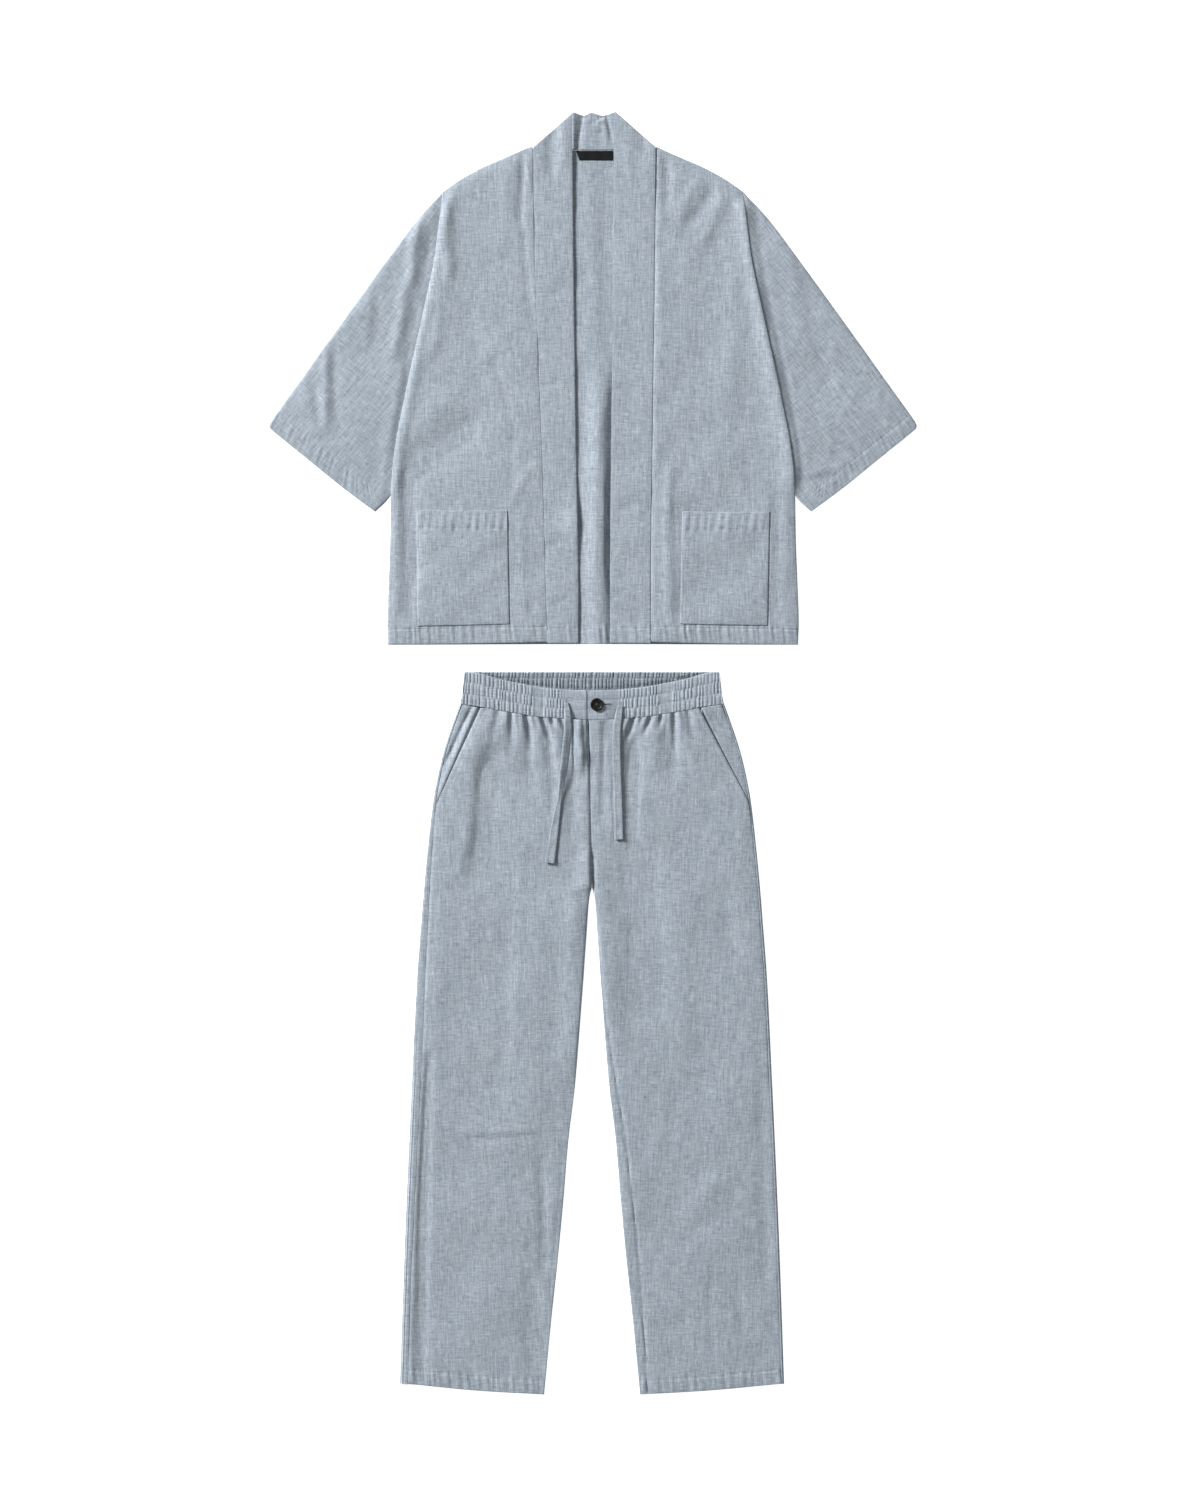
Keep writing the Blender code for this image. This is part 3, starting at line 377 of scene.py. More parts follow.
def fold_height(across, down, folds, strength=1.0):
    """Soft ridges and troughs, their flanks and crests made uneven along their run."""
    total = np.zeros_like(across)
    for number, fold in enumerate(folds):
        run = np.array([fold.to_across - fold.across, fold.to_down - fold.down])
        length = np.hypot(*run)
        ahead = run / length
        far_across = across - fold.across
        far_down = down - fold.down
        share = (far_across * ahead[0] + far_down * ahead[1]) / length
        beside = far_across * ahead[1] - far_down * ahead[0]
        beside = beside + 0.22 * fold.width * np.sin(share * 5.0 + number * 1.7)
        over = np.clip(np.abs(share - 0.5) - 0.5, 0, None) * length
        uneven = 0.85 + 0.15 * np.sin(share * 9.0 + number * 2.3)
        fade = ease(share, -0.25, 0.2) * (1 - ease(share, 0.7, 1.2))
        total += fold.height * uneven * bell(np.hypot(beside, over), fold.width) * fade
    return total * strength


def gather_height(across, down):
    """Troughs that start sharp at the waistband's seam and fade as they run down."""
    total = np.zeros_like(across)
    for fold in GATHERS:
        share = (down - fold.down) / (fold.to_down - fold.down)
        centre = fold.across + (fold.to_across - fold.across) * np.clip(share, 0.0, 1.6)
        width = fold.width * (0.85 + 0.3 * np.clip(share, 0.0, 3.0))
        trough = fold.height * bell(across - centre, width) * (1 - ease(share, 0.5, 2.6))
        lips = -0.3 * fold.height * bell(np.abs(across - centre) - 2.2 * width, width)
        total += trough + lips * (1 - ease(share, 0.2, 1.8))
    return total


def undulation(across, down, seed, strength):
    """The slow rise and fall of cloth that was smoothed out by hand, and a finer crumple on it."""
    pick = np.random.default_rng(seed)
    total = np.zeros_like(across)
    for low, high, amount in ((70, 170, 0.16), (26, 60, 0.04), (11, 22, 0.010)):
        for _ in range(6):
            wave = pick.uniform(low, high)
            heading = pick.uniform(0, math.pi)
            start = pick.uniform(0, 2 * math.pi)
            lean = across * math.cos(heading) + down * math.sin(heading)
            total += amount * np.sin(lean * 2 * math.pi / wave + start)
    return total * strength


def hem_height(distance, run, width, seed, strength=1.0, waves=(7.0, 9.5, 12.5, 17.0)):
    """A turned and stitched hem: thicker cloth, a sunk stitch line and the puckers between."""
    pick = np.random.default_rng(seed)
    lean = run + 0.12 * distance
    beat = np.zeros_like(run)
    for wave in waves:
        beat += np.sin(lean * 2 * math.pi / (wave * pick.uniform(0.9, 1.1)) + pick.uniform(0, 6))
    beat = 2.4 * np.tanh(beat / 2.4)
    reach = bell(distance - width, 4.5) + 0.9 * bell(distance - width * 0.45, 0.42 * width)
    puckers = 0.33 * strength * beat * reach
    thick = 0.22 * (1 - ease(distance, width - 0.6, width + 0.8))
    groove = -0.4 * bell(distance - width, 1.1)
    return puckers * roll(distance, 3.0) + thick + groove


def jacket_front_low(spot):
    """The underside of a front: a low cushion that is pressed at its edges."""
    puff = roll(spot.outer, 22) * roll(spot.top, 22)
    puff = puff * (0.45 + 0.55 * roll(spot.bottom, 40)) * (0.4 + 0.6 * roll(spot.inner, 30))
    return LAYER + 0.1 + 2.3 * puff


def sleeve_low(spot):
    """The underside of a sleeve's upper layer."""
    puff = roll(np.minimum(spot.top, spot.bottom), 26) * (0.5 + 0.5 * roll(spot.outer, 40))
    puff = puff * ease(spot.inner, -4, 26)
    return LAYER + 0.3 + 1.9 * puff


def neckband_low(spot):
    """The underside of a band, which lies over the collar at the neck."""
    over_collar = 1 - ease(spot.down, 78, 150)
    crown = roll(spot.inner, 14) * roll(spot.outer, 20)
    lift = (0.3 + 3.4 * bell(spot.down - 571, 27)) * bell(spot.inner, 20) if spot.across.mean() < 0 else 0.0
    return LAYER + 0.2 + 1.2 * over_collar + lift + 0.5 * crown * roll(spot.bottom, 30)


def front_leg_low(spot, side, strength):
    """The underside of a trouser front, with its folds and gathers."""
    underlap = 0.0 if side > 0 else FLY_UNDERLAP + 0.6
    inner = np.clip(spot.inner - underlap * (1 - np.clip((spot.down - 179) / 120, 0, 1)), 0.0, None)
    at_slant = 1 - ease(spot.down, 185, 240)
    edge = LAYER + 0.5 + 1.2 * at_slant * (1 - ease(spot.outer, 30, 60))
    puff = roll(spot.outer, 26) * roll(inner, 24) * (0.4 + 0.6 * roll(spot.bottom, 40))
    low = edge + 1.5 * puff
    near_fly = (1 - ease(inner, 6, 30)) * (1 - ease(spot.down, 302, 345))
    fly_height = 2.75 if side > 0 else LAYER - 0.02
    low = low + (fly_height - edge) * near_fly
    folds = fold_height(spot.across, spot.down, TROUSER_FOLDS, strength)
    folds = folds * roll(spot.outer, 12) * roll(inner, 4)
    gathers = 1.65 * gather_height(spot.across, spot.down) * roll(spot.outer, 12) * roll(inner, 10)
    lift = 2.6 * (1 - ease(spot.down, 66, 150)) * roll(inner, 24) * roll(spot.outer, 30)
    low = low + side_ridge(side, spot.down) * bell(spot.outer, 7)
    floor = LAYER + np.where(spot.outer < 30, 1.5 * at_slant, 0.0)
    return np.maximum(low + folds + gathers + lift, floor)


def fly_lip(spot):
    """The left leg's cloth rises slowly towards the fly's line and drops beside it."""
    beside = read_table(FLY_LINE, "down", "across", spot.down) - spot.across
    to_crotch = ease(spot.down, 225, 285)
    crest = 2.4 + 1.6 * to_crotch
    fall = np.clip(1 - np.clip((crest - beside) / crest, 0, 1) ** 2, 0, 1)
    slope = np.where(beside > crest, bell(beside - crest, 13), fall)
    run = ease(spot.down, 100, 124) * (1 - ease(spot.down, 296, 312))
    return (2.7 + 2.6 * to_crotch) * slope * run


def side_ridge(side, down):
    """How far the turned side seam stands up, more on the left leg below the knee."""
    rise = 1.9 if side < 0 else 0.5
    return rise * ease(down, 420, 640) + 0.3 * ease(down, 240, 300) + 2.0 * (1 - ease(down, 46, 74))


def side_inset(side, down):
    """How far the turned side reaches in over the front."""
    return read_table(TURN_RIGHT if side > 0 else TURN_LEFT, "down", "inset", down)


def band_floor(side, across):
    """The underside of the waistband, raised where its right end laps over the left."""
    if side < 0:
        return np.full_like(across, BAND_FLOOR)
    return BAND_FLOOR + (RIBBED_CLOTH - 0.2) * (1 - ease(across, UNDERLAP_END + 2, FLAT_WAIST + 2))


# Meshes

def in_jacket(across, down, height):
    """Places on the jacket, in metres."""
    across, down, height = np.broadcast_arrays(across, down, height)
    return np.stack([across, JACKET_TOP - down, height], axis=-1) * MM


def in_trousers(across, down, height):
    """Places on the trousers, in metres."""
    across, down, height = np.broadcast_arrays(across, down, height)
    return np.stack([across + TROUSER_SHIFT, TROUSER_TOP - down, height], axis=-1) * MM


def grain_of(across, down, turn=0.0, shift=(0.0, 0.0)):
    """Places on the uncut cloth in metres: first across the threads, then along them."""
    c = math.cos(turn)
    s = math.sin(turn)
    first = (across * c + down * s) * MM + shift[0]
    second = (down * c - across * s) * MM + shift[1]
    return np.stack(np.broadcast_arrays(first, second), axis=-1)


def new_piece(name, vertices, faces, grain, material, flat_edges=55):
    """A closed piece with its cloth map, shaded smooth but for its sharp edges."""
    mesh = bpy.data.meshes.new(name)
    mesh.from_pydata(vertices.tolist(), [], faces)
    mesh.validate()
    layer = mesh.uv_layers.new(name="cloth")
    corner = np.zeros(len(mesh.loops), np.int32)
    mesh.loops.foreach_get("vertex_index", corner)
    layer.data.foreach_set("uv", np.ascontiguousarray(grain[corner], np.float32).ravel())
    shape = bmesh.new()
    shape.from_mesh(mesh)
    bmesh.ops.recalc_face_normals(shape, faces=shape.faces)
    shape.to_mesh(mesh)
    shape.free()
    mesh.shade_smooth()
    mesh.set_sharp_from_angle(angle=math.radians(flat_edges))
    mesh.materials.append(material)
    item = bpy.data.objects.new(name, mesh)
    bpy.context.collection.objects.link(item)
    return item


def wall(name, upper, lower, grain, material, closed=False):
    """A wall of cloth between two grids of places, an open sheet or a closed tube."""
    rows, columns = upper.shape[:2]
    number = np.arange(rows * columns).reshape(rows, columns)
    under = rows * columns
    after = np.roll(number, -1, axis=1) if closed else number[:, 1:]
    here = number if closed else number[:, :-1]
    quads = np.stack([here[:-1], after[:-1], after[1:], here[1:]], axis=-1).reshape(-1, 4)
    faces = [quads, quads[:, ::-1] + under]
    for row in (0, -1):
        faces.append(np.stack([here[row], after[row], after[row] + under, here[row] + under], axis=-1))
    if not closed:
        for column in (0, -1):
            side = number[:, column]
            faces.append(np.stack([side[:-1], side[1:], side[1:] + under, side[:-1] + under], axis=-1))
    vertices = np.concatenate([upper.reshape(-1, 3), lower.reshape(-1, 3)])
    flat = grain.reshape(-1, 2)
    return new_piece(name, vertices, np.concatenate(faces).tolist(), np.concatenate([flat, flat]), material)


def sheet_piece(name, spot, top, thickness, place, grain, material, sewn=()):
    """A sheet whose upper side lies at the given heights, its free edges rounded down a little."""
    edge = np.full_like(top, thickness)
    for key in ("inner", "outer", "top", "bottom"):
        if key not in sewn:
            edge = np.minimum(edge, getattr(spot, key))
    rounded = top - 0.45 * thickness * (1 - roll(edge, thickness))
    lower = np.minimum(top - thickness, rounded - 0.3)
    upper_places = place(spot.across, spot.down, rounded)
    lower_places = place(spot.across, spot.down, lower)
    return wall(name, upper_places, lower_places, grain, material)


def surface_reader(items):
    """Reads the height of the uppermost of some finished pieces, straight from above."""
    trees = [
        BVHTree.FromPolygons([vertex.co for vertex in item.data.vertices],
                             [face.vertices[:] for face in item.data.polygons])
        for item in items]

    def read(x, y):
        hits = [tree.ray_cast(Vector((x, y, 1.0)), Vector((0, 0, -1)))[0] for tree in trees]
        return max([hit.z for hit in hits if hit] + [0.0])

    return read


def declare(item, nodes):
    """Rides the piece on the body and takes the solids' place."""
    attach(item, "root")
    if nodes:
        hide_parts(*nodes)
    return item


# Materials

def new_material(name):
    """An empty material with its nodes and its shader."""
    material = bpy.data.materials.new(name)
    material.use_nodes = True
    tree = material.node_tree
    return material, tree, tree.nodes["Principled BSDF"]


def add_node(tree, kind, **values):
    """A node with some of its settings or its inputs given by name."""
    node = tree.nodes.new(kind)
    for key, value in values.items():
        if hasattr(node, key):
            setattr(node, key, value)
        else:
            node.inputs[key.replace("_", " ").title()].default_value = value
    return node


def stretched_noise(tree, source, across, along_thread, detail=2.0, turn=(0.0, 0.0)):
    """Noise whose marks are so many metres wide and long on the cloth."""
    mapping = add_node(tree, "ShaderNodeMapping")
    mapping.inputs["Scale"].default_value = (1 / across, 1 / along_thread, 1.0)
    mapping.inputs["Location"].default_value = (turn[0], turn[1], 0.0)
    noise = add_node(tree, "ShaderNodeTexNoise", noise_dimensions="2D")
    noise.inputs["Scale"].default_value = 1.0
    noise.inputs["Detail"].default_value = detail
    noise.inputs["Roughness"].default_value = 0.55
    tree.links.new(source, mapping.inputs["Vector"])
    tree.links.new(mapping.outputs["Vector"], noise.inputs["Vector"])
    return noise.outputs["Fac"]


def remap(tree, source, low, high, to_low=0.0, to_high=1.0):
    """The source's range from low to high, stretched to another."""
    node = add_node(tree, "ShaderNodeMapRange")
    node.inputs["From Min"].default_value = low
    node.inputs["From Max"].default_value = high
    node.inputs["To Min"].default_value = to_low
    node.inputs["To Max"].default_value = to_high
    tree.links.new(source, node.inputs["Value"])
    return node.outputs["Result"]


def sum_of(tree, sources):
    """The sum of several values."""
    total = sources[0]
    for source in sources[1:]:
        node = add_node(tree, "ShaderNodeMath", operation="ADD")
        tree.links.new(total, node.inputs[0])
        tree.links.new(source, node.inputs[1])
        total = node.outputs[0]
    return total


def mix_colour(tree, factor, first, second):
    """The first colour, or the second where the factor is 1."""
    node = tree.nodes.new("ShaderNodeMix")
    node.data_type = "RGBA"
    sockets = [socket for socket in node.inputs if socket.type == "RGBA"]
    for socket, value in zip(sockets, (first, second)):
        if isinstance(value, bpy.types.NodeSocket):
            tree.links.new(value, socket)
        else:
            socket.default_value = (*value[:3], 1.0)
    tree.links.new(factor, node.inputs["Factor"])
    return [socket for socket in node.outputs if socket.type == "RGBA"][0]


def weave_height(tree, source, pitch):
    """One over, one under: the small relief of a plain weave, in cells of the given pitch."""
    parts = []
    for axis, scale in ((0, (math.pi / pitch, 0, 0)), (1, (0, math.pi / pitch, 0))):
        dot = add_node(tree, "ShaderNodeVectorMath", operation="DOT_PRODUCT")
        dot.inputs[1].default_value = scale
        sine = add_node(tree, "ShaderNodeMath", operation="SINE")
        tree.links.new(source, dot.inputs[0])
        tree.links.new(dot.outputs["Value"], sine.inputs[0])
        parts.append(sine.outputs[0])
    product = add_node(tree, "ShaderNodeMath", operation="MULTIPLY")
    tree.links.new(parts[0], product.inputs[0])
    tree.links.new(parts[1], product.inputs[1])
    return product.outputs[0]


def woven_cloth(name, colour, fleck_light, fleck_dark, strength):
    """Slubbed plain weave: thick and thin threads both ways, pale and dark slubs, and a slow mottle."""
    material, tree, shader = new_material(name)
    source = add_node(tree, "ShaderNodeUVMap", uv_map="cloth").outputs["UV"]
    warp = stretched_noise(tree, source, 0.0021, 0.034)
    weft = stretched_noise(tree, source, 0.024, 0.0023, turn=(3.1, 7.7))
    heather = stretched_noise(tree, source, 0.0024, 0.0024, 3.0, (11.0, 5.0))
    bars = stretched_noise(tree, source, 0.005, 0.095, 2.0, (1.0, 4.0))
    cross_bars = stretched_noise(tree, source, 0.090, 0.006, 2.0, (6.0, 2.0))
    mottle = stretched_noise(tree, source, 0.050, 0.075, 2.0, (2.0, 9.0))
    slub_warp = stretched_noise(tree, source, 0.0018, 0.013, 1.0, (21.0, 1.0))
    slub_weft = stretched_noise(tree, source, 0.012, 0.0018, 1.0, (5.0, 31.0))
    threads = sum_of(tree, [
        remap(tree, warp, 0.3, 0.7, -0.56, 0.56), remap(tree, weft, 0.3, 0.7, -0.38, 0.38),
        remap(tree, heather, 0.3, 0.7, -0.24, 0.24), remap(tree, mottle, 0.3, 0.7, -0.05, 0.05),
        remap(tree, bars, 0.3, 0.7, -0.19, 0.19), remap(tree, cross_bars, 0.3, 0.7, -0.07, 0.07),
    ])
    dark_side = mix_colour(tree, remap(tree, threads, 0.0, -1.0, 0.0, strength), colour, fleck_dark)
    both = mix_colour(tree, remap(tree, threads, 0.0, 1.0, 0.0, strength), dark_side, fleck_light)
    pale_slubs = sum_of(tree, [remap(tree, slub_warp, 0.64, 0.72, 0.0, 0.3),
                               remap(tree, slub_weft, 0.64, 0.72, 0.0, 0.3)])
    with_pale = mix_colour(tree, pale_slubs, both, fleck_light)
    dark_slubs = sum_of(tree, [remap(tree, slub_warp, 0.36, 0.28, 0.0, 0.34),
                               remap(tree, slub_weft, 0.36, 0.28, 0.0, 0.34)])
    final = mix_colour(tree, dark_slubs, with_pale, fleck_dark)
    tree.links.new(final, shader.inputs["Base Color"])
    relief = sum_of(tree, [remap(tree, weave_height(tree, source, 0.0008), -1.0, 1.0, 0.0, 0.5),
                           remap(tree, warp, 0.2, 0.8, 0.0, 0.8), remap(tree, weft, 0.2, 0.8, 0.0, 0.8),
                           remap(tree, heather, 0.2, 0.8, 0.0, 0.5)])
    bump = add_node(tree, "ShaderNodeBump")
    bump.inputs["Strength"].default_value = 0.3
    bump.inputs["Distance"].default_value = 0.0004
    tree.links.new(relief, bump.inputs["Height"])
    tree.links.new(bump.outputs["Normal"], shader.inputs["Normal"])
    rough = remap(tree, heather, 0.2, 0.8, 0.84, 0.96)
    tree.links.new(rough, shader.inputs["Roughness"])
    shader.inputs["Sheen Weight"].default_value = 0.12
    shader.inputs["Sheen Roughness"].default_value = 0.5
    shader.inputs["Specular IOR Level"].default_value = 0.25
    return material


def fine_material(name, colour, accent, roughness, scale, relief):
    """A small hard or satin surface with fine streaks and its own roughness."""
    material, tree, shader = new_material(name)
    source = add_node(tree, "ShaderNodeTexCoord").outputs["Object"]
    streak = stretched_noise(tree, source, scale, scale * 3, 3.0)
    shade = mix_colour(tree, remap(tree, streak, 0.35, 0.7), colour, accent)
    tree.links.new(shade, shader.inputs["Base Color"])
    uneven = remap(tree, streak, 0.2, 0.8, roughness - 0.08, roughness + 0.08)
    tree.links.new(uneven, shader.inputs["Roughness"])
    bump = add_node(tree, "ShaderNodeBump")
    bump.inputs["Strength"].default_value = relief
    bump.inputs["Distance"].default_value = 0.0002
    tree.links.new(streak, bump.inputs["Height"])
    tree.links.new(bump.outputs["Normal"], shader.inputs["Normal"])
    shader.inputs["Specular IOR Level"].default_value = 0.22
    return material


def material_for(kind):
    """Each finish is made once and shared."""
    made = bpy.data.materials.get(kind)
    if made:
        return made
    look = bpy.context.scene.kimono_set_colours
    # The darker ground inside the waistband is painted shade.
    grounds = {"slubbed_cloth": look.cloth, "slubbed_cloth_inside": look.cloth_inside,
               "slubbed_cloth_inside_painted_shade": look.waistband_inside_painted_shade}
    if kind in grounds:
        return woven_cloth(kind, grounds[kind], look.pale_fleck, look.dark_fleck, look.fleck_strength)
    fine = {
        "label_satin": (look.label, (0.006, 0.0065, 0.008), 0.65, 0.0006, 0.4),
        "button_horn": (look.button, (0.018, 0.016, 0.015), 0.42, 0.003, 0.05),
        "sewing_thread": (look.thread, (0.30, 0.34, 0.39), 0.85, 0.0005, 0.5),
        "button_thread": ((0.05, 0.055, 0.065), (0.09, 0.095, 0.11), 0.75, 0.0004, 0.5),
    }
    if kind in fine:
        return fine_material(kind, *fine[kind])
    return floor_material(kind, look.floor)


def floor_material(kind, colour):
    """A pale matt floor with a little light of its own."""
    material, tree, shader = new_material(kind)
    source = add_node(tree, "ShaderNodeTexCoord").outputs["Object"]
    grain = stretched_noise(tree, source, 0.02, 0.02, 3.0)
    pale = tuple(min(part * 1.02, 1.0) for part in colour)
    tree.links.new(mix_colour(tree, grain, colour, pale), shader.inputs["Base Color"])
    shader.inputs["Roughness"].default_value = 0.95
    shader.inputs["Specular IOR Level"].default_value = 0.1
    shader.inputs["Emission Color"].default_value = (1.0, 1.0, 1.0, 1.0)
    shader.inputs["Emission Strength"].default_value = 0.8
    return material


# Sewing

def stitch_row(read, place, route, length=3.2, gap=1.3, width=0.36, lift=0.0):
    """Small thread stitches along a route, each lying on the cloth under it."""
    total = length_of(route)
    count = int(total / (length + gap))
    if count < 1:
        return np.zeros((0, 3)), []
    starts = (np.arange(count) + 0.5) * (total / count) / total
    half = length / 2 / total
    vertices = []
    faces = []
    for share in starts:
        ends = along(route, [max(share - half, 0), share, min(share + half, 1)])
        spots = place(ends[:, 0], ends[:, 1], 0.0)
        heights = [read(x, y) for x, y, _ in spots]
        spots[:, 2] = heights
        run = spots[2] - spots[0]
        size = np.hypot(run[0], run[1])
        if size < 1e-6 or min(heights) < 1e-4:
            continue
        side = np.array([-run[1], run[0], 0.0]) / size * width / 2 * MM
        up = np.array([0.0, 0.0, width * MM])
        base = len(vertices)
        middle = spots[1] + up * lift
        vertices += [spots[0] - up * 0.2, spots[2] - up * 0.2, middle + side, middle - side,
                     middle + up * 0.6, middle - up * 0.6]
        for a, b in ((2, 4), (4, 3), (3, 5), (5, 2)):
            faces.append((base, base + a, base + b))
            faces.append((base + 1, base + b, base + a))
    return np.array(vertices), faces


def stitching_piece(name, rows, material):
    """All of a garment's stitches, joined as one mesh."""
    vertices = []
    faces = []
    base = 0
    for row_vertices, row_faces in rows:
        if len(row_vertices) == 0:
            continue
        vertices.append(row_vertices)
        faces += [tuple(index + base for index in face) for face in row_faces]
        base += len(row_vertices)
    places = np.concatenate(vertices)
    return new_piece(name, places, faces, places[:, :2].copy(), material, 180)


# Outlines of the cut panels

def band_rows(side):
    """The rows of one half of the neckband."""
    return BAND_RIGHT if side > 0 else BAND_LEFT


def jacket_front_outline(side):
    """A front's top, hem, inner and outer edge."""
    inner = [Point(row.seam + side * 0.06, row.down) for row in band_rows(side)]
    inner[0] = Point(inner[0].across + side * 0.5, 48.0)
    inner[-1] = Point(inner[-1].across, 742)
    outer = on_side(ARMHOLE + JACKET_SIDE, side)
    hem = [inner[-1], Point(side * 150, 744), outer[-1]]
    top = [inner[0]] + on_side(SHOULDER, side)
    return curve(top), curve(hem), curve(inner), joined(curve(outer[:10]), curve(outer[9:]))


def neckband_outline(side):
    """A band's top, hem, inner and outer edge."""
    peak = PEAK_RIGHT if side > 0 else PEAK_LEFT
    edge = [peak] + [Point(row.edge, row.down) for row in band_rows(side)]
    seam = [Point(row.seam, row.down) for row in band_rows(side)]
    seam[0] = NECK_RIGHT if side > 0 else NECK_LEFT
    edge_line = joined(line(edge[:2]), curve(edge[1:]))
    return line([edge[0], seam[0]]), line([edge[-1], seam[-1]]), edge_line, curve(seam)


def front_leg_outline(side):
    """A trouser front's top, hem, inner and outer edge."""
    slant = SLANT_RIGHT if side > 0 else SLANT_LEFT
    side_line = curve(TROUSER_SIDE)
    seam = [Point(float(np.interp(down, side_line[:, 1], side_line[:, 0])), down) for down in (200, 220, 250)]
    seam += [point for point in TROUSER_SIDE if point.down > 260]
    outer = [Point(point.across - float(side_inset(side, point.down)) - 0.1, point.down) for point in seam]
    fly = FLY_LINE if side > 0 else [
        Point(FLY_LINE[0].across + FLY_UNDERLAP, 68), Point(FLY_LINE[1].across + FLY_UNDERLAP, 80),
        Point(FLY_LINE[2].across + FLY_UNDERLAP, 179), Point(-0.2, 302),
    ]
    top = [slant[0]] + [point for point in WAIST_SEAM if 20 < point.across < slant[0].across - 2]
    top = [Point(point.across, point.down + SEAM) for point in on_side(top, side)][::-1]
    inner = [Point(fly[0].across, 67 + SEAM)] + list(fly[1:])
    slant_line = [top[-1], on_side(slant, side)[1]]
    outer_line = joined(line(slant_line), curve([slant_line[-1]] + on_side(outer, side)))
    hem = curve([Point(side * 67, 1011), Point(side * 168, 1005), Point(*outer_line[-1])])
    inner_line = joined(curve(inner), curve([inner[-1]] + on_side(INNER_LEG, side)[1:]))
    return curve([inner[0]] + top), hem, inner_line, outer_line


def in_both(first, second):
    """The steps of two lists as one, in order."""
    return np.unique(np.concatenate([first, second]))


# Jacket pieces

def lying_fold(spot):
    """The back's long fold: it rises slowly from the left and drops beside the right band's edge."""
    deep = ease(spot.down, 485, 535) * (1 - ease(spot.down, 625, 690))
    edge = read_table(BAND_RIGHT, "down", "edge", spot.down) + 0.5 - 4.2 * deep
    crest = edge - 17 + 3 * deep
    rise = 7.7 * ease(spot.down, 320, 440) * (1 - 0.45 * ease(spot.down, 600, 720))
    share = np.clip((spot.across - crest) / (edge - crest), 0, 1)
    fall = 2.5 + 1.6 * deep - 0.8 * bell(spot.down - 455, 42)
    return rise * np.where(spot.across > crest, 1 - share ** fall, bell(spot.across - crest, 15.5))


def make_jacket_back(sizes):
    """The back, lying on the floor, its inside up between the two bands."""
    right = ARMHOLE + JACKET_SIDE
    right_line = joined(curve(right[:10]), curve(right[9:]))
    left_line = right_line * np.array([-1, 1])
    neckline = [Point(point.across, point.down + SEAM) for point in NECKLINE]
    top = joined(curve(mirrored(SHOULDER)[::-1]), line([mirrored(SHOULDER)[0], neckline[0]]), curve(neckline),
                 line([neckline[-1], SHOULDER[0]]), curve(SHOULDER))
    hem = curve([Point(-287, 746), Point(0, 745), Point(287, 746)])
    # The columns lie closer between the two bands, where the back's inside shows.
    between_bands = 0.42 + 0.16 * np.arange(71) / 70
    us = in_both(steps_for(574, sizes.mesh_step * 4), between_bands)
    spot = spots_of((top, hem, left_line, right_line), us, steps_for(640, sizes.mesh_step))
    calm = roll(spot.top, 20) * roll(spot.bottom, 10)
    low = lying_fold(spot)
    fine = fold_height(spot.across, spot.down, BACK_FOLDS) + undulation(spot.across, spot.down, 3, 0.5)
    fine = fine * calm
    near_middle = 1 - ease(np.abs(spot.across), 24, 60)
    fine = fine + near_middle * hem_height(spot.bottom, spot.across, sizes.jacket_hem, 5)
    low = np.clip(low, 0.0, None)
    top_height = low + CLOTH + np.clip(fine, -0.35, None) * near_middle
    grain = grain_of(spot.across, spot.down, 0.0, (2.0, 0.0))
    edge = nearest_edge(spot)
    upper = in_jacket(spot.across, spot.down, top_height - 0.4 * (1 - roll(edge, 1.0)))
    lower = in_jacket(spot.across, spot.down, np.maximum(top_height - CLOTH, 0.0) * ease(low, 0.02, 0.4))
    item = wall("back_cloth", upper, lower, grain, material_for("slubbed_cloth_inside"))
    declare(item, ["jacket_back"])
    return item


def outside_pocket(across, down, side):
    """Distance outside the patch pocket's edge, below zero within it."""
    corners = line(POCKET_RIGHT if side > 0 else POCKET_LEFT)
    share = (down - corners[0, 1]) / (corners[3, 1] - corners[0, 1])
    far = np.abs(corners[0, 0] + (corners[3, 0] - corners[0, 0]) * share)
    near = np.abs(corners[1, 0] + (corners[2, 0] - corners[1, 0]) * share)
    beside = np.maximum(near - np.abs(across), np.abs(across) - far)
    return np.maximum(beside, np.maximum(corners[0, 1] - down, down - corners[3, 1]))


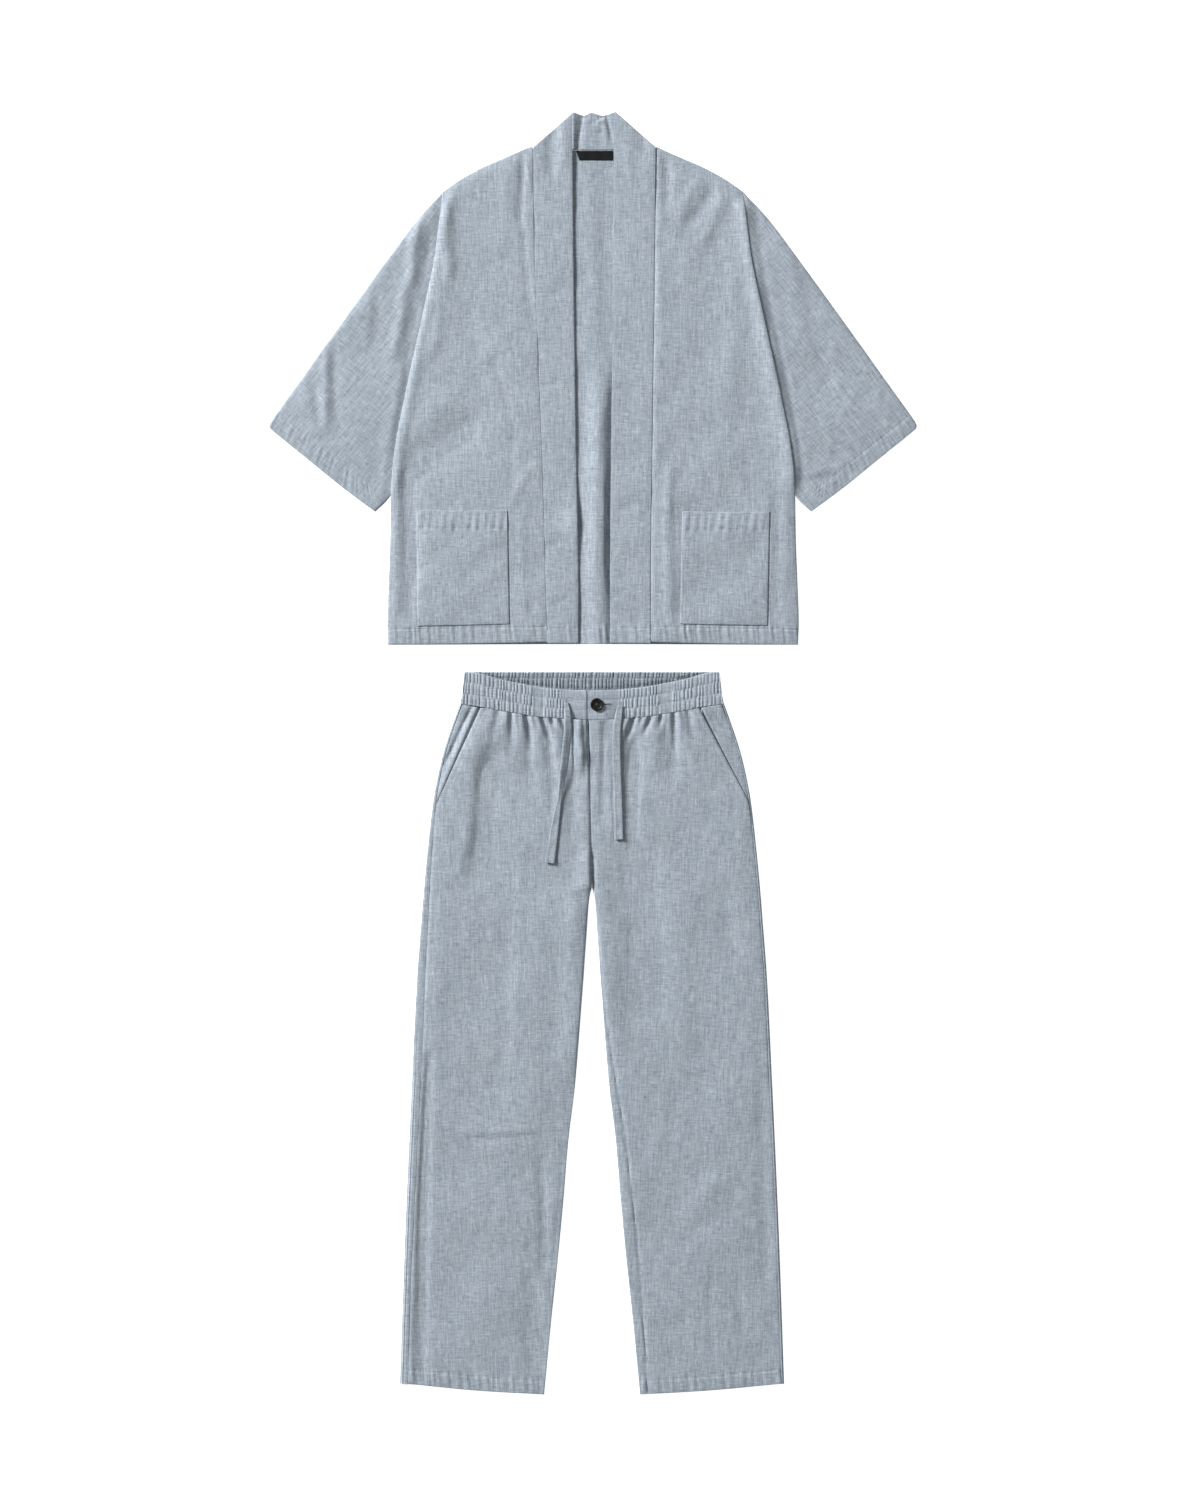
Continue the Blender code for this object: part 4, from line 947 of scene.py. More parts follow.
def make_jacket_front(side, word, sizes):
    """One front, with its folds and its turned hem."""
    outline = jacket_front_outline(side)
    width = length_of(outline[1])
    vs = in_both(steps_for(length_of(outline[3]), sizes.mesh_step), 1 - np.arange(24) * 1.8 / 640)
    us = steps_for(width, sizes.mesh_step * 0.66)
    # The rows and columns lie closer along the pocket's edges.
    around = np.linspace(-4.5, 4.5, 9)
    for share in (0.232, 0.817):
        us = in_both(us, share + around / 218)
    for down in (558, 719):
        vs = in_both(vs, (down - 51 + around) / 692)
    spot = spots_of(outline, us, vs)
    calm = roll(spot.outer, 26) * roll(spot.bottom, 40) * roll(spot.inner, 12) * roll(spot.top, 26)
    top = jacket_front_low(spot) + CLOTH
    top = top + fold_height(spot.across, spot.down, JACKET_FOLDS, sizes.fold_strength) * calm
    top = top + undulation(spot.across, spot.down, 11 + side, sizes.fold_strength) * (0.35 + 0.65 * calm)
    over_sleeve = ease(spot.down, 112, 140 if side > 0 else 185) * (1 - ease(spot.down, 505, 550))
    if side > 0:
        top = top + 6.0 * over_sleeve * bell(spot.outer, 15)
    else:
        top = top + 1.9 * over_sleeve * bell(spot.outer - 8, 9) * roll(spot.outer, 6)
    top = top + hem_height(spot.bottom, spot.across, sizes.jacket_hem, 21 + side)
    top = top - 0.3 * bell(outside_pocket(spot.across, spot.down, side) - 0.7, 1.1)
    to_band = 1 - ease(spot.inner, 0, 18)
    top = top + (0.45 if side < 0 else 0.75) * to_band
    if side > 0:
        top = top - 0.5 * bell(spot.inner, 2.0)
    top = above(top, LAYER + 1.0)
    grain = grain_of(spot.across, spot.down, 0.0, (0.37 * side, 0.11))
    item = sheet_piece(f"front_cloth_{word}", spot, top, FRONT_WALL, in_jacket, grain,
                       material_for("slubbed_cloth"), ["inner"])
    declare(item, [f"jacket_front_{word}"])
    return item


def make_sleeve(side, word, sizes):
    """One sleeve: a flattened tube, open at the armhole and the cuff."""
    armhole = curve(on_side(ARMHOLE, side)) + np.array([side * SEAM, 0.0])
    cuff = curve(on_side(CUFF, side))
    top = curve(on_side(SLEEVE_TOP, side))
    under = curve(on_side(SLEEVE_UNDER, side))
    top[0] = armhole[0]
    under[0] = armhole[-1]
    front_shares = steps_for(SLEEVE_WIDTH, sizes.mesh_step, 1.6)
    back_shares = np.linspace(1.0, 0.0, 26)[1:-1]
    us = in_both(steps_for(SLEEVE_RUN, sizes.mesh_step), 1 - np.arange(20) * 2.0 / SLEEVE_RUN)
    outline = (armhole, cuff, top, under)
    front = spots_of(outline, front_shares, us)
    # The patch runs along the sleeve, so its top and bottom distances are the armhole's and the cuff's.
    turned = Spot(front.across, front.down, front.top, front.bottom, front.inner, front.outer)
    puff = roll(np.minimum(turned.top, turned.bottom), 20) * ease(turned.inner, -2, 16)
    folds = fold_height(front.across, front.down, SLEEVE_FOLDS, sizes.fold_strength * 0.8)
    height = sleeve_low(turned) + CLOTH + folds * puff
    height = height + undulation(front.across, front.down, 31 + side, sizes.fold_strength) * puff
    along_armhole = ease(front.down, 112, 140) * (1 - ease(front.down, 505, 550))
    if side > 0:
        step_down = 5.5 * (1 - ease(turned.inner, -6, 24)) - 0.5 * bell(turned.inner - 27, 8)
        height = height + along_armhole * step_down
    run = turned.top
    off_under = 0.1 + 0.9 * ease(turned.bottom, 4, 44)
    hem = hem_height(turned.outer, run, sizes.cuff_hem, 41 + side, 0.6)
    height = height + hem * roll(turned.top, 5) * off_under
    middle = 1.5
    fold_reach = 2.4
    skin = 1.0
    near_fold = roll(np.minimum(turned.top, turned.bottom), fold_reach)
    upper_front = middle + (height - middle) * near_fold
    inner_front = middle + np.maximum(height - middle - skin, 0.15) * near_fold
    back = spots_of(outline, back_shares, us)
    near_back = roll(np.minimum(back.inner, back.outer), fold_reach)
    back_low = middle - middle * near_back
    inner_back = middle - (middle - skin) * near_back
    # The tube's inner side stops short of its two folds.
    inner_front_spot = spots_of(outline, np.clip(front_shares, 0.0055, 0.9945), us)
    inner_back_spot = spots_of(outline, np.clip(back_shares, 0.0055, 0.9945), us)
    upper = np.concatenate([in_jacket(front.across, front.down, upper_front),
                            in_jacket(back.across, back.down, back_low)], axis=1)
    lower = np.concatenate([in_jacket(inner_front_spot.across, inner_front_spot.down, inner_front),
                            in_jacket(inner_back_spot.across, inner_back_spot.down, inner_back)], axis=1)
    across = np.concatenate([front.across, back.across], axis=1)
    down = np.concatenate([front.down, back.down], axis=1)
    grain = grain_of(across, down, -(side * sizes.sleeve_turn), (0.9 * side, 0.4))
    item = wall(f"sleeve_cloth_{word}", upper, lower, grain, material_for("slubbed_cloth"), closed=True)
    declare(item, [f"sleeve_{word}"])
    return item


def make_neckband(side, word, sizes):
    """One half of the doubled band down the fronts."""
    outline = neckband_outline(side)
    vs = in_both(steps_for(BAND_RUN, sizes.mesh_step), 1 - np.arange(20) * 2.0 / BAND_RUN)
    spot = spots_of(outline, steps_for(58, sizes.mesh_step * 0.8), vs)
    top = neckband_low(spot) + BAND_CLOTH
    top = top + undulation(spot.across, spot.down, 51 + side, sizes.fold_strength * 0.8)
    folds = fold_height(spot.across, spot.down, NECKBAND_FOLDS, sizes.fold_strength * 1.2)
    top = top + folds * roll(spot.inner, 8)
    top = top - 0.55 * (side < 0) * (1 - roll(spot.inner, 3.0))
    top = top - (0.1 if side < 0 else 0.6) * (1 - roll(spot.outer, 2.0))
    top = top + hem_height(spot.bottom, spot.across, sizes.jacket_hem, 61 + side) * roll(spot.inner, 4)
    grain = grain_of(spot.across, spot.down, 0.012 * side, (0.23 * side, 0.6))
    sewn = ["outer"] if side < 0 else ["inner", "outer"]
    item = sheet_piece(f"neckband_cloth_{word}", spot, top, BAND_WALL, in_jacket, grain,
                       material_for("slubbed_cloth"), sewn)
    declare(item, [f"neckband_{word}"])
    return item


def make_collar():
    """The band behind the neck, turned over at its left end."""
    top_line = curve(COLLAR_TOP)
    bottom = curve(NECKLINE)
    outline = (top_line, bottom, line([COLLAR_TOP[0], NECKLINE[0]]), line([COLLAR_TOP[-1], NECKLINE[-1]]))
    spot = spots_of(outline, steps_for(110, 1.4), steps_for(52, 1.4))
    calm = roll(spot.bottom, 5) * roll(spot.inner, 8) * roll(spot.outer, 8) * (0.4 + 0.6 * roll(spot.top, 6))
    folds = np.clip(fold_height(spot.across, spot.down, COLLAR_FOLDS, 1.5), -1.7, None)
    crease = -13.5 - 8.5 * spot.down / 52
    from_band = np.clip((spot.across + 27) / (crease + 27), 0, 1)
    past_crease = -1.5 * (1 - ease(spot.across - crease, 0, 4))
    turn = np.where(spot.across < crease, 3.6 - 5.1 * from_band, past_crease)
    top = BAND_CLOTH - SEAM + turn * roll(spot.top, 3) * ease(spot.across, -33, -28) + folds * calm
    top = top + undulation(spot.across, spot.down, 71, 0.5) * calm
    top = top + 0.35 * bell(spot.bottom - 1.5, 1.5)
    grain = grain_of(spot.across, spot.down, 0.5 * math.pi, (1.5, 0.2))
    edge = nearest_edge(spot)
    top = above(top, 0.9)
    upper = in_jacket(spot.across, spot.down, top - 0.5 * (1 - roll(edge, 1.8)))
    lower = in_jacket(spot.across, spot.down, 0.0 * top)
    item = wall("collar_cloth", upper, lower, grain, material_for("slubbed_cloth_inside"))
    declare(item, ["neckband_back"])
    return item


def make_label():
    """A small plain label below the collar."""
    corners = line(LABEL)
    outline = (corners[[0, 1]], corners[[3, 2]], corners[[0, 3]], corners[[1, 2]])
    spot = spots_of(outline, steps_for(50, 0.8, 0.5), steps_for(12.8, 0.6, 0.4))
    edge = nearest_edge(spot)
    border = 0.16 * bell(edge - 1.6, 0.35)
    top = LAYER + 0.55 + border + 0.12 * np.sin(spot.across * 0.35) * roll(spot.bottom, 4)
    grain = grain_of(spot.across, spot.down)
    item = sheet_piece("label_cloth", spot, top, LABEL_WALL, in_jacket, grain, material_for("label_satin"))
    declare(item, ["neck_label"])
    return item


def make_pocket(side, word, front, sizes):
    """A patch pocket that lies on its front, with a deep turned hem."""
    corners = line(POCKET_RIGHT if side > 0 else POCKET_LEFT)
    outer = line([corners[0], corners[3]])
    inner = line([corners[1], corners[2] + np.array([0.0, -1.0])])
    before_corner = corners[2] + np.array([side * 3.0, 0.0])
    bottom = line([corners[3], before_corner, inner[-1]])
    sag = corners[0] * 0.5 + corners[1] * 0.5 + np.array([0, 0.8])
    top_line = curve([corners[0], sag, corners[1]])
    outline = (top_line, bottom, outer, inner)
    step = sizes.mesh_step * 0.8
    spot = spots_of(outline, steps_for(128, step, 1.0), steps_for(160, step, 1.0))
    read = surface_reader([front])
    places = in_jacket(spot.across, spot.down, 0.0)
    ground = np.array([[read(x, y) for x, y, _ in row] for row in places]) / MM
    edge = np.minimum(np.minimum(spot.inner, spot.outer), spot.bottom)
    top = ground + 0.2 + 0.8 + 0.5 * roll(edge, 16) * (0.6 + 0.4 * roll(spot.top, 20))
    top = top + hem_height(spot.top, spot.across, sizes.pocket_hem, 81 + side, 1.1, (10.5, 12.5, 16.0))
    top = top - 0.22 * bell(edge - 3.0, 0.9)
    top = top + undulation(spot.across, spot.down, 91 + side, 0.6) * roll(edge, 10)
    grain = grain_of(spot.across, spot.down, 0.02 * side, (0.5 + 0.13 * side, 0.3))
    item = sheet_piece(f"pocket_cloth_{word}", spot, top, POCKET_WALL, in_jacket, grain,
                       material_for("slubbed_cloth"))
    declare(item, [f"pocket_{word}"])
    return item


# Trouser pieces

def make_back_leg(side, word, sizes):
    """One trouser back, whose outer side turns over onto the front."""
    outer = curve(on_side(TROUSER_SIDE, side))
    inner = joined(line([Point(side * 0.2, 42.3), Point(side * 0.2, 302)]), curve(on_side(INNER_LEG, side)))
    hem = curve(on_side(TROUSER_HEM, side))
    outline = (line([inner[0], outer[0]]), hem, inner, outer)
    vs = steps_for(length_of(outer), sizes.mesh_step)
    ends = patch(outline, np.array([0.0, 1.0]), vs)
    near = ends[:, 0]
    far = ends[:, 1]
    width = np.linalg.norm(far - near, axis=-1)[:, None]
    out = (far - near) / width
    bend = TURN_HEIGHT / 2
    inset = np.maximum(side_inset(side, far[:, 1]), bend + 1.0)[:, None]
    lift = 0.25 * undulation(np.zeros_like(vs), far[:, 1], 101 + side, 1.0)[:, None]
    floor = np.linspace(0.0, 1.0, 8)[None, :] * (width - 0.7 * bend)
    angles = np.radians(np.linspace(-70, 90, 7))[None, :]
    around = width - bend + bend * np.cos(angles)
    around_height = bend + bend * np.sin(angles)
    strip = np.linspace(0.2, 1.0, 12)[None, :]
    over = width - bend - (inset - bend) * strip
    zeros = np.zeros_like(width)
    ridge = (lift + side_ridge(side, far[:, 1:2])) * np.ones_like(strip)
    over_height = TURN_HEIGHT + ridge + 0.25 * np.sin(math.pi * strip) * np.ones_like(width)
    if side < 0:
        over_height = over_height - 0.7 * bell(width - over - 5.0, 1.0) * ease(far[:, 1:2], 420, 640)
    distance = np.concatenate([floor, around, over], axis=1)
    height = np.concatenate([floor * 0, around_height + zeros, over_height], axis=1)
    skin = 1.0
    floor_in = np.linspace(0.0, 1.0, 8)[None, :] * (width - 1.2 * bend)
    around_in = width - bend + (bend - skin) * np.cos(angles)
    around_in_height = bend + (bend - skin) * np.sin(angles)
    distance_in = np.concatenate([floor_in, around_in, over], axis=1)
    height_in = np.concatenate([floor_in * 0 + skin, around_in_height + zeros, over_height - skin], axis=1)

    def places(reach, rise):
        spots = near[:, None, :] + out[:, None, :] * reach[..., None]
        return spots, in_trousers(spots[..., 0], spots[..., 1], rise)

    flat, upper = places(distance, height)
    _, lower = places(distance_in, height_in)
    grain = grain_of(flat[..., 0], flat[..., 1], 0.0, (1.2 * side, 1.0))
    item = wall(f"back_leg_cloth_{word}", upper, lower, grain, material_for("slubbed_cloth"))
    declare(item, [f"trouser_back_{word}"])
    spot = spots_of(outline, np.linspace(0, 1, 5), vs)
    return item


def make_facing(side, word, sizes):
    """The hip piece that shows behind the slanting pocket mouth."""
    slant = SLANT_RIGHT if side > 0 else SLANT_LEFT
    tucked = [Point(slant[0].across - FACING_TUCK, 52.4),
              Point(slant[1].across - FACING_TUCK, slant[1].down + 14)]
    rows = [point for point in TROUSER_SIDE if point.down < 200]
    outer = [Point(point.across - float(side_inset(side, point.down)) - 0.15, point.down) for point in rows]
    outer[0] = Point(outer[0].across, 45.6)
    top = on_side([tucked[0], Point(slant[0].across, 50.6), outer[0]], side)
    bottom = on_side([tucked[-1], outer[-1]], side)
    outline = (line(top), line(bottom), line(on_side(tucked, side)), curve(on_side(outer, side)))
    spot = spots_of(outline, steps_for(44, 2.0), steps_for(150, sizes.mesh_step))
    past_mouth = ease(spot.inner, FACING_TUCK, FACING_TUCK + 5)
    near_band = 1 - ease(spot.top, 2, 26)
    ridge = (0.6 if side > 0 else 2.3) * bell(spot.inner - FACING_TUCK - 6.5, 4.5) * roll(spot.bottom, 30)
    rise = ridge * (1 - 0.6 * near_band) + 0.7 * roll(spot.outer, 6) + 2.6 * near_band
    top_height = LAYER + CLOTH + 0.05 + past_mouth * rise
    top_height = top_height + past_mouth * fold_height(spot.across, spot.down, HIP_FOLDS)
    wave = undulation(spot.across, spot.down, 111 + side, 0.6)
    top_height = top_height + past_mouth * wave * roll(spot.outer, 6)
    grain = grain_of(spot.across, spot.down, 0.0, (0.7 * side, 0.9))
    item = sheet_piece(f"facing_cloth_{word}", spot, top_height, FRONT_WALL, in_trousers, grain,
                       material_for("slubbed_cloth"), ["outer"])
    declare(item, [f"pocket_facing_{word}"])
    return item


def make_front_leg(side, word, sizes):
    """One trouser front, gathered into the waistband."""
    outline = front_leg_outline(side)
    us = steps_for(190, sizes.mesh_step * 0.62, 1.2)
    upper_rows = np.arange(50) * 1.7 / LEG_RUN
    lower_rows = 1 - np.arange(20) * 2.0 / LEG_RUN
    vs = in_both(in_both(steps_for(LEG_RUN, sizes.mesh_step * 1.15), upper_rows), lower_rows)
    spot = spots_of(outline, us, vs)
    top = front_leg_low(spot, side, sizes.fold_strength) + CLOTH
    calm = roll(spot.outer, 16) * roll(spot.inner, 16)
    top = top + undulation(spot.across, spot.down, 121 + side, sizes.fold_strength) * calm
    top = top + hem_height(spot.bottom, spot.across, sizes.trouser_hem, 131 + side)
    above_crotch = ease(spot.down, 238, 264) * (1 - ease(spot.down, 296, 312))
    top = top - 2.6 * bell(spot.across - 1.6, 2.4) * above_crotch
    at_mouth = 1 - ease(spot.down, 172, 186)
    top = top + at_mouth * (1.1 * bell(spot.outer - 2, 5) * (side > 0) - 0.45 * bell(spot.outer - 7, 1.2))
    if side < 0:
        top = top - 0.7 * bell(spot.outer - 1.0, 1.3) * (1 - at_mouth)
        top = top - 0.8 * bell(spot.inner - 6.0, 1.1) * ease(spot.down, 560, 800) * roll(spot.bottom, 2)
        top = top + fly_lip(spot)
    if side > 0:
        top = top + 3.0 * (1 - ease(spot.down, 67, 104)) * (1 - ease(spot.inner, 10, 30))
        to_seam = bell(spot.across - read_table(INNER_SEAM_RIGHT, "down", "across", spot.down), 1.5)
        top = top - 1.7 * to_seam * ease(spot.down, 330, 400) * roll(spot.bottom, 2)
        tape_edge = (read_table(STRING_RIGHT, "down", "across", spot.down)
                     - read_table(STRING_RIGHT, "down", "half", spot.down))
        low_tape = ease(spot.down, 128, 150) * (1 - ease(spot.down, 232, 238))
        top = top - 1.2 * bell(spot.across - tape_edge + 0.6, 1.5) * low_tape
        fly = ease(spot.down, 68, 74) * (1 - ease(spot.down, 205, 225))
        top = top - 0.45 * bell(spot.across - 27 + 12 * ease(spot.down, 190, 225), 1.2) * fly
    top = above(top, LAYER + 0.95)
    grain = grain_of(spot.across, spot.down, 0.03 * side, (0.43 * side, 1.7))
    item = sheet_piece(f"front_leg_cloth_{word}", spot, top, FRONT_WALL, in_trousers, grain,
                       material_for("slubbed_cloth"), ["outer", "top"])
    declare(item, [f"trouser_front_{word}"])
    return item


def rib_wave(across, tier, pitch, seed):
    """Round crests and narrow valleys of gathered casing, a little uneven in width and height."""
    pick = np.random.default_rng(seed)
    wobble = np.zeros_like(across)
    for wave in (17.0, 37.0, 71.0):
        amount = pick.uniform(0.10, 0.2)
        wobble += amount * np.sin(across * 2 * math.pi / wave + pick.uniform(0, 6) + 0.25 * tier)
    amount = 0.95 + 0.2 * np.sin(across * 2 * math.pi / 23 + pick.uniform(0, 6) + tier)
    amount += 0.15 * np.sin(across * 2 * math.pi / 47 + pick.uniform(0, 6) - tier)
    crest = np.abs(np.sin(math.pi * (across / pitch + wobble + 0.06 * tier * tier))) ** 0.62
    return (crest - 0.65) * amount


def make_waistband_front(side, word, sizes):
    """One half of the ribbed band in front."""
    if side > 0:
        start, end = OVERLAP_START, FRONT_BAND_END
    else:
        start, end = -FRONT_BAND_END, UNDERLAP_END
    count = int((end - start) / 0.85)
    across = np.linspace(start, end, count + 1)[None, :]
    # The rows lie closer round the buttonhole.
    share = in_both(steps_for(FRONT_BAND_DEPTH, 1.35, 1.0), 0.5 + np.linspace(-0.075, 0.075, 13))[:, None]
    top_edge = outline_down(WAIST_DIP, across)
    low_edge = outline_down(WAIST_SEAM, across)
    down = top_edge + (low_edge - top_edge) * share
    ribbed = ease(np.abs(across), FLAT_WAIST - 4, FLAT_WAIST + 8)
    for begin, finish in PLAIN_STRETCHES:
        plain = ease(across, begin - 2, begin + 1) * (1 - ease(across, finish - 1, finish + 2))
        ribbed = ribbed * (1 - plain)
    past_first = ease(share, 0.28, 0.38)
    past_second = ease(share, 0.62, 0.72)
    seed = 7 + side
    first = rib_wave(across, 0, sizes.rib_pitch, seed) * (1 - past_first)
    second = rib_wave(across + 1.3, 1, sizes.rib_pitch, seed) * past_first * (1 - past_second)
    third = rib_wave(across + 0.7, 2, sizes.rib_pitch * 1.15, seed) * past_second
    pressed = 1 - 0.3 * sum(bell(share - row, 0.03) for row in CASING_ROWS)
    edges = roll(share, 0.06) * roll(1 - share, 0.05)
    ribs = (first + second + third) * ribbed * pressed * edges * sizes.rib_height
    tiers = -0.3 * sum(bell(share - row, 0.028) for row in CASING_ROWS)
    soft = 0.3 * np.sin(math.pi * np.clip((share * 3) % 1.0, 0, 1))
    thickness = RIBBED_CLOTH - 0.6 * (1 - ribbed)
    base = band_floor(side, across)
    top = base + thickness + ribs + tiers * (0.5 + 0.5 * ribbed) + soft
    top = top - 0.8 * (1 - roll(share * FRONT_BAND_DEPTH, 2.0))
    top = top - 0.25 * (1 - roll((1 - share) * FRONT_BAND_DEPTH, 1.5))
    if side > 0:
        top = top - 1.3 * bell(across - 94.5, 1.3) * (0.7 + 0.3 * np.sin(share * 9 + 1))
        slit = ease(across, 14.5, 15.5) * (1 - ease(across, 25.0, 26.0))
        top = top - 1.6 * bell(down - 45.5, 0.75) * slit
        top = top + 0.5 * (bell(down - 43.9, 0.8) + bell(down - 47.1, 0.8)) * slit
    else:
        top = top - 1.5 * ease(across, -9.0, -5.4) - 1.2 * bell(across + 68.5, 1.3)
    lean = (1 - share) * np.clip(np.abs(across) - 174, 0, None) * 0.5
    place_across = across - side * lean
    low = np.minimum(base + 0.0 * share, top - 0.6)
    ripple = 0.35 * rib_wave(across, 0, sizes.rib_pitch, seed) * ribbed * (1 - ease(share, 0.0, 0.2))
    grain = grain_of(place_across + 0 * share, down, 0.0, (0.31 * side, 2.3))
    upper = in_trousers(place_across, down + ripple, top)
    lower = in_trousers(place_across, down, low)
    item = wall(f"waistband_cloth_{word}", upper, lower, grain, material_for("slubbed_cloth"))
    declare(item, [f"waistband_front_{word}"])
    return item


def make_waistband_back(sizes):
    """The ribbed band behind, its inside up and coloured darker as painted shade."""
    place = np.linspace(-1.0, 1.0, 441)[None, :]
    share = steps_for(BACK_BAND_DEPTH, 1.5, 1.0)[:, None]
    edge = read_table(BACK_BAND_SIDE, "down", "across", share * BACK_BAND_DEPTH)
    across = place * edge
    pitch = sizes.rib_pitch * 1.04
    seed = 201
    past_first = ease(share, 0.17, 0.24)
    first = rib_wave(across, 0, pitch, seed) * (1 - past_first)
    second = rib_wave(across + 0.9, 1, pitch, seed) * past_first
    pressed = 1 - 0.7 * bell(share - BACK_CASING_ROW, 0.03)
    ends = roll(np.abs(edge) - np.abs(across), 5.0)
    ribs = (first + second) * pressed * roll(share, 0.05) * ends * sizes.rib_height * 1.15
    curl = 1.9 * (1 - ease(share, 0.05, 0.6))
    top = RIBBED_CLOTH - 0.4 + curl + ribs - 0.5 * bell(share - BACK_CASING_ROW, 0.022)
    top = top - 0.7 * (1 - roll(share * BACK_BAND_DEPTH, 2.0)) - 0.8 * (1 - ends)
    to_front = outline_down(WAIST_DIP, across) - share * BACK_BAND_DEPTH
    top = top - 1.7 * (1 - ease(to_front, -1, 7)) * roll(share * BACK_BAND_DEPTH, 6)
    top = np.clip(np.where(to_front < 2.5, np.minimum(top, BAND_FLOOR - 0.3), top), 1.0, None)
    ripple = 0.4 * rib_wave(across, 0, pitch, seed) * (1 - ease(share, 0.0, 0.12)) * ends
    down = share * BACK_BAND_DEPTH + ripple
    grain = grain_of(across, down, 0.0, (3.3, 2.1))
    upper = in_trousers(across, down, top)
    lower = in_trousers(across, down, 0.0 * top)
    # The back band takes the darker cloth, whose colour is painted shade over the whole band.
    item = wall("waistband_back_cloth", upper, lower, grain, material_for("slubbed_cloth_inside_painted_shade"))
    declare(item, ["waistband_back"])
    return item


def smooth_route(rows, steps):
    """Places on a smooth curve through a tape's stations."""
    stations = np.array(rows, float)
    ends = np.vstack([stations[0], stations, stations[-1]])
    route = []
    for index in range(len(stations) - 1):
        route += [between(*ends[index:index + 4], share) for share in np.arange(steps) / steps]
    route.append(stations[-1])
    return np.array(route)


def make_drawstring(rows, under, word):
    """A flat tape with turned edges that leaves its eyelet and lies down the front."""
    read = surface_reader(under)
    route = smooth_route(rows, 10)
    runs = np.gradient(route[:, :2], axis=0)
    runs /= np.linalg.norm(runs, axis=1)[:, None]
    sides = np.stack([runs[:, 1], -runs[:, 0]], axis=1)
    _, _, lift, half, lean = route.T
    grounds = []
    for station, side in zip(route, sides):
        probes = [station[:2] + side * station[3] * share for share in (-1.0, -0.5, 0.0, 0.5, 1.0)]
        spots = [in_trousers(*probe, 0.0) for probe in probes]
        grounds.append(max(read(spot[0], spot[1]) for spot in spots) / MM)
    grounds = np.array(grounds)
    spread = np.array([grounds[max(i - 4, 0):i + 5].max() for i in range(len(grounds))])
    kernel = np.ones(7) / 7
    low = np.convolve(np.pad(spread, 3, mode="edge"), kernel, mode="valid") + lift * 0.8
    low = np.maximum(low, grounds + 0.3)
    reached = np.concatenate([[0.0], np.cumsum(np.linalg.norm(np.diff(route[:, :2], axis=0), axis=1))])
    tip = ease(reached, reached[-1] - 9.5, reached[-1] - 8.0)
    section = [(-1.0, 0.55), (-0.9, 0.1), (-0.62, 0.0), (-0.5, 0.12), (0.0, 0.16), (0.5, 0.12), (0.62, 0.0),
               (0.9, 0.1), (1.0, 0.55)]
    shares = np.array([share for share, _ in section])
    dips = np.array([dip for _, dip in section])
    across = route[:, 0, None] + sides[:, 0, None] * half[:, None] * shares[None, :]
    down = route[:, 1, None] + sides[:, 1, None] * half[:, None] * shares[None, :]
    tilt = lean[:, None] * (1 - ease(shares[None, :], -0.75, 1.3))
    thick = (1.5 + 0.7 * tip)[:, None] * np.ones_like(shares)[None, :]
    top = low[:, None] + tilt + thick * (1 - 0.55 * dips[None, :])
    bottom = low[:, None] + tilt + thick * 0.45 * np.where(np.abs(shares) > 0.8, dips, 0.0)[None, :]
    grain = np.stack(np.broadcast_arrays(half[:, None] * shares[None, :] * MM + 5.0,
                                         reached[:, None] * MM + 0 * shares[None, :]), axis=-1)
    upper = in_trousers(across, down, top)
    lower = in_trousers(across, down, bottom)
    item = wall(f"drawstring_tape_{word}", upper, lower, grain, material_for("slubbed_cloth"))
    declare(item, [f"drawstring_{word}"])
    path = ((upper + lower) / 2)[:, 4]
    tuple(path[0])
    return item


def deselect_all():
    """Leaves no object selected or active."""
    for item in bpy.context.selected_objects:
        item.select_set(False)
    bpy.context.view_layer.objects.active = None


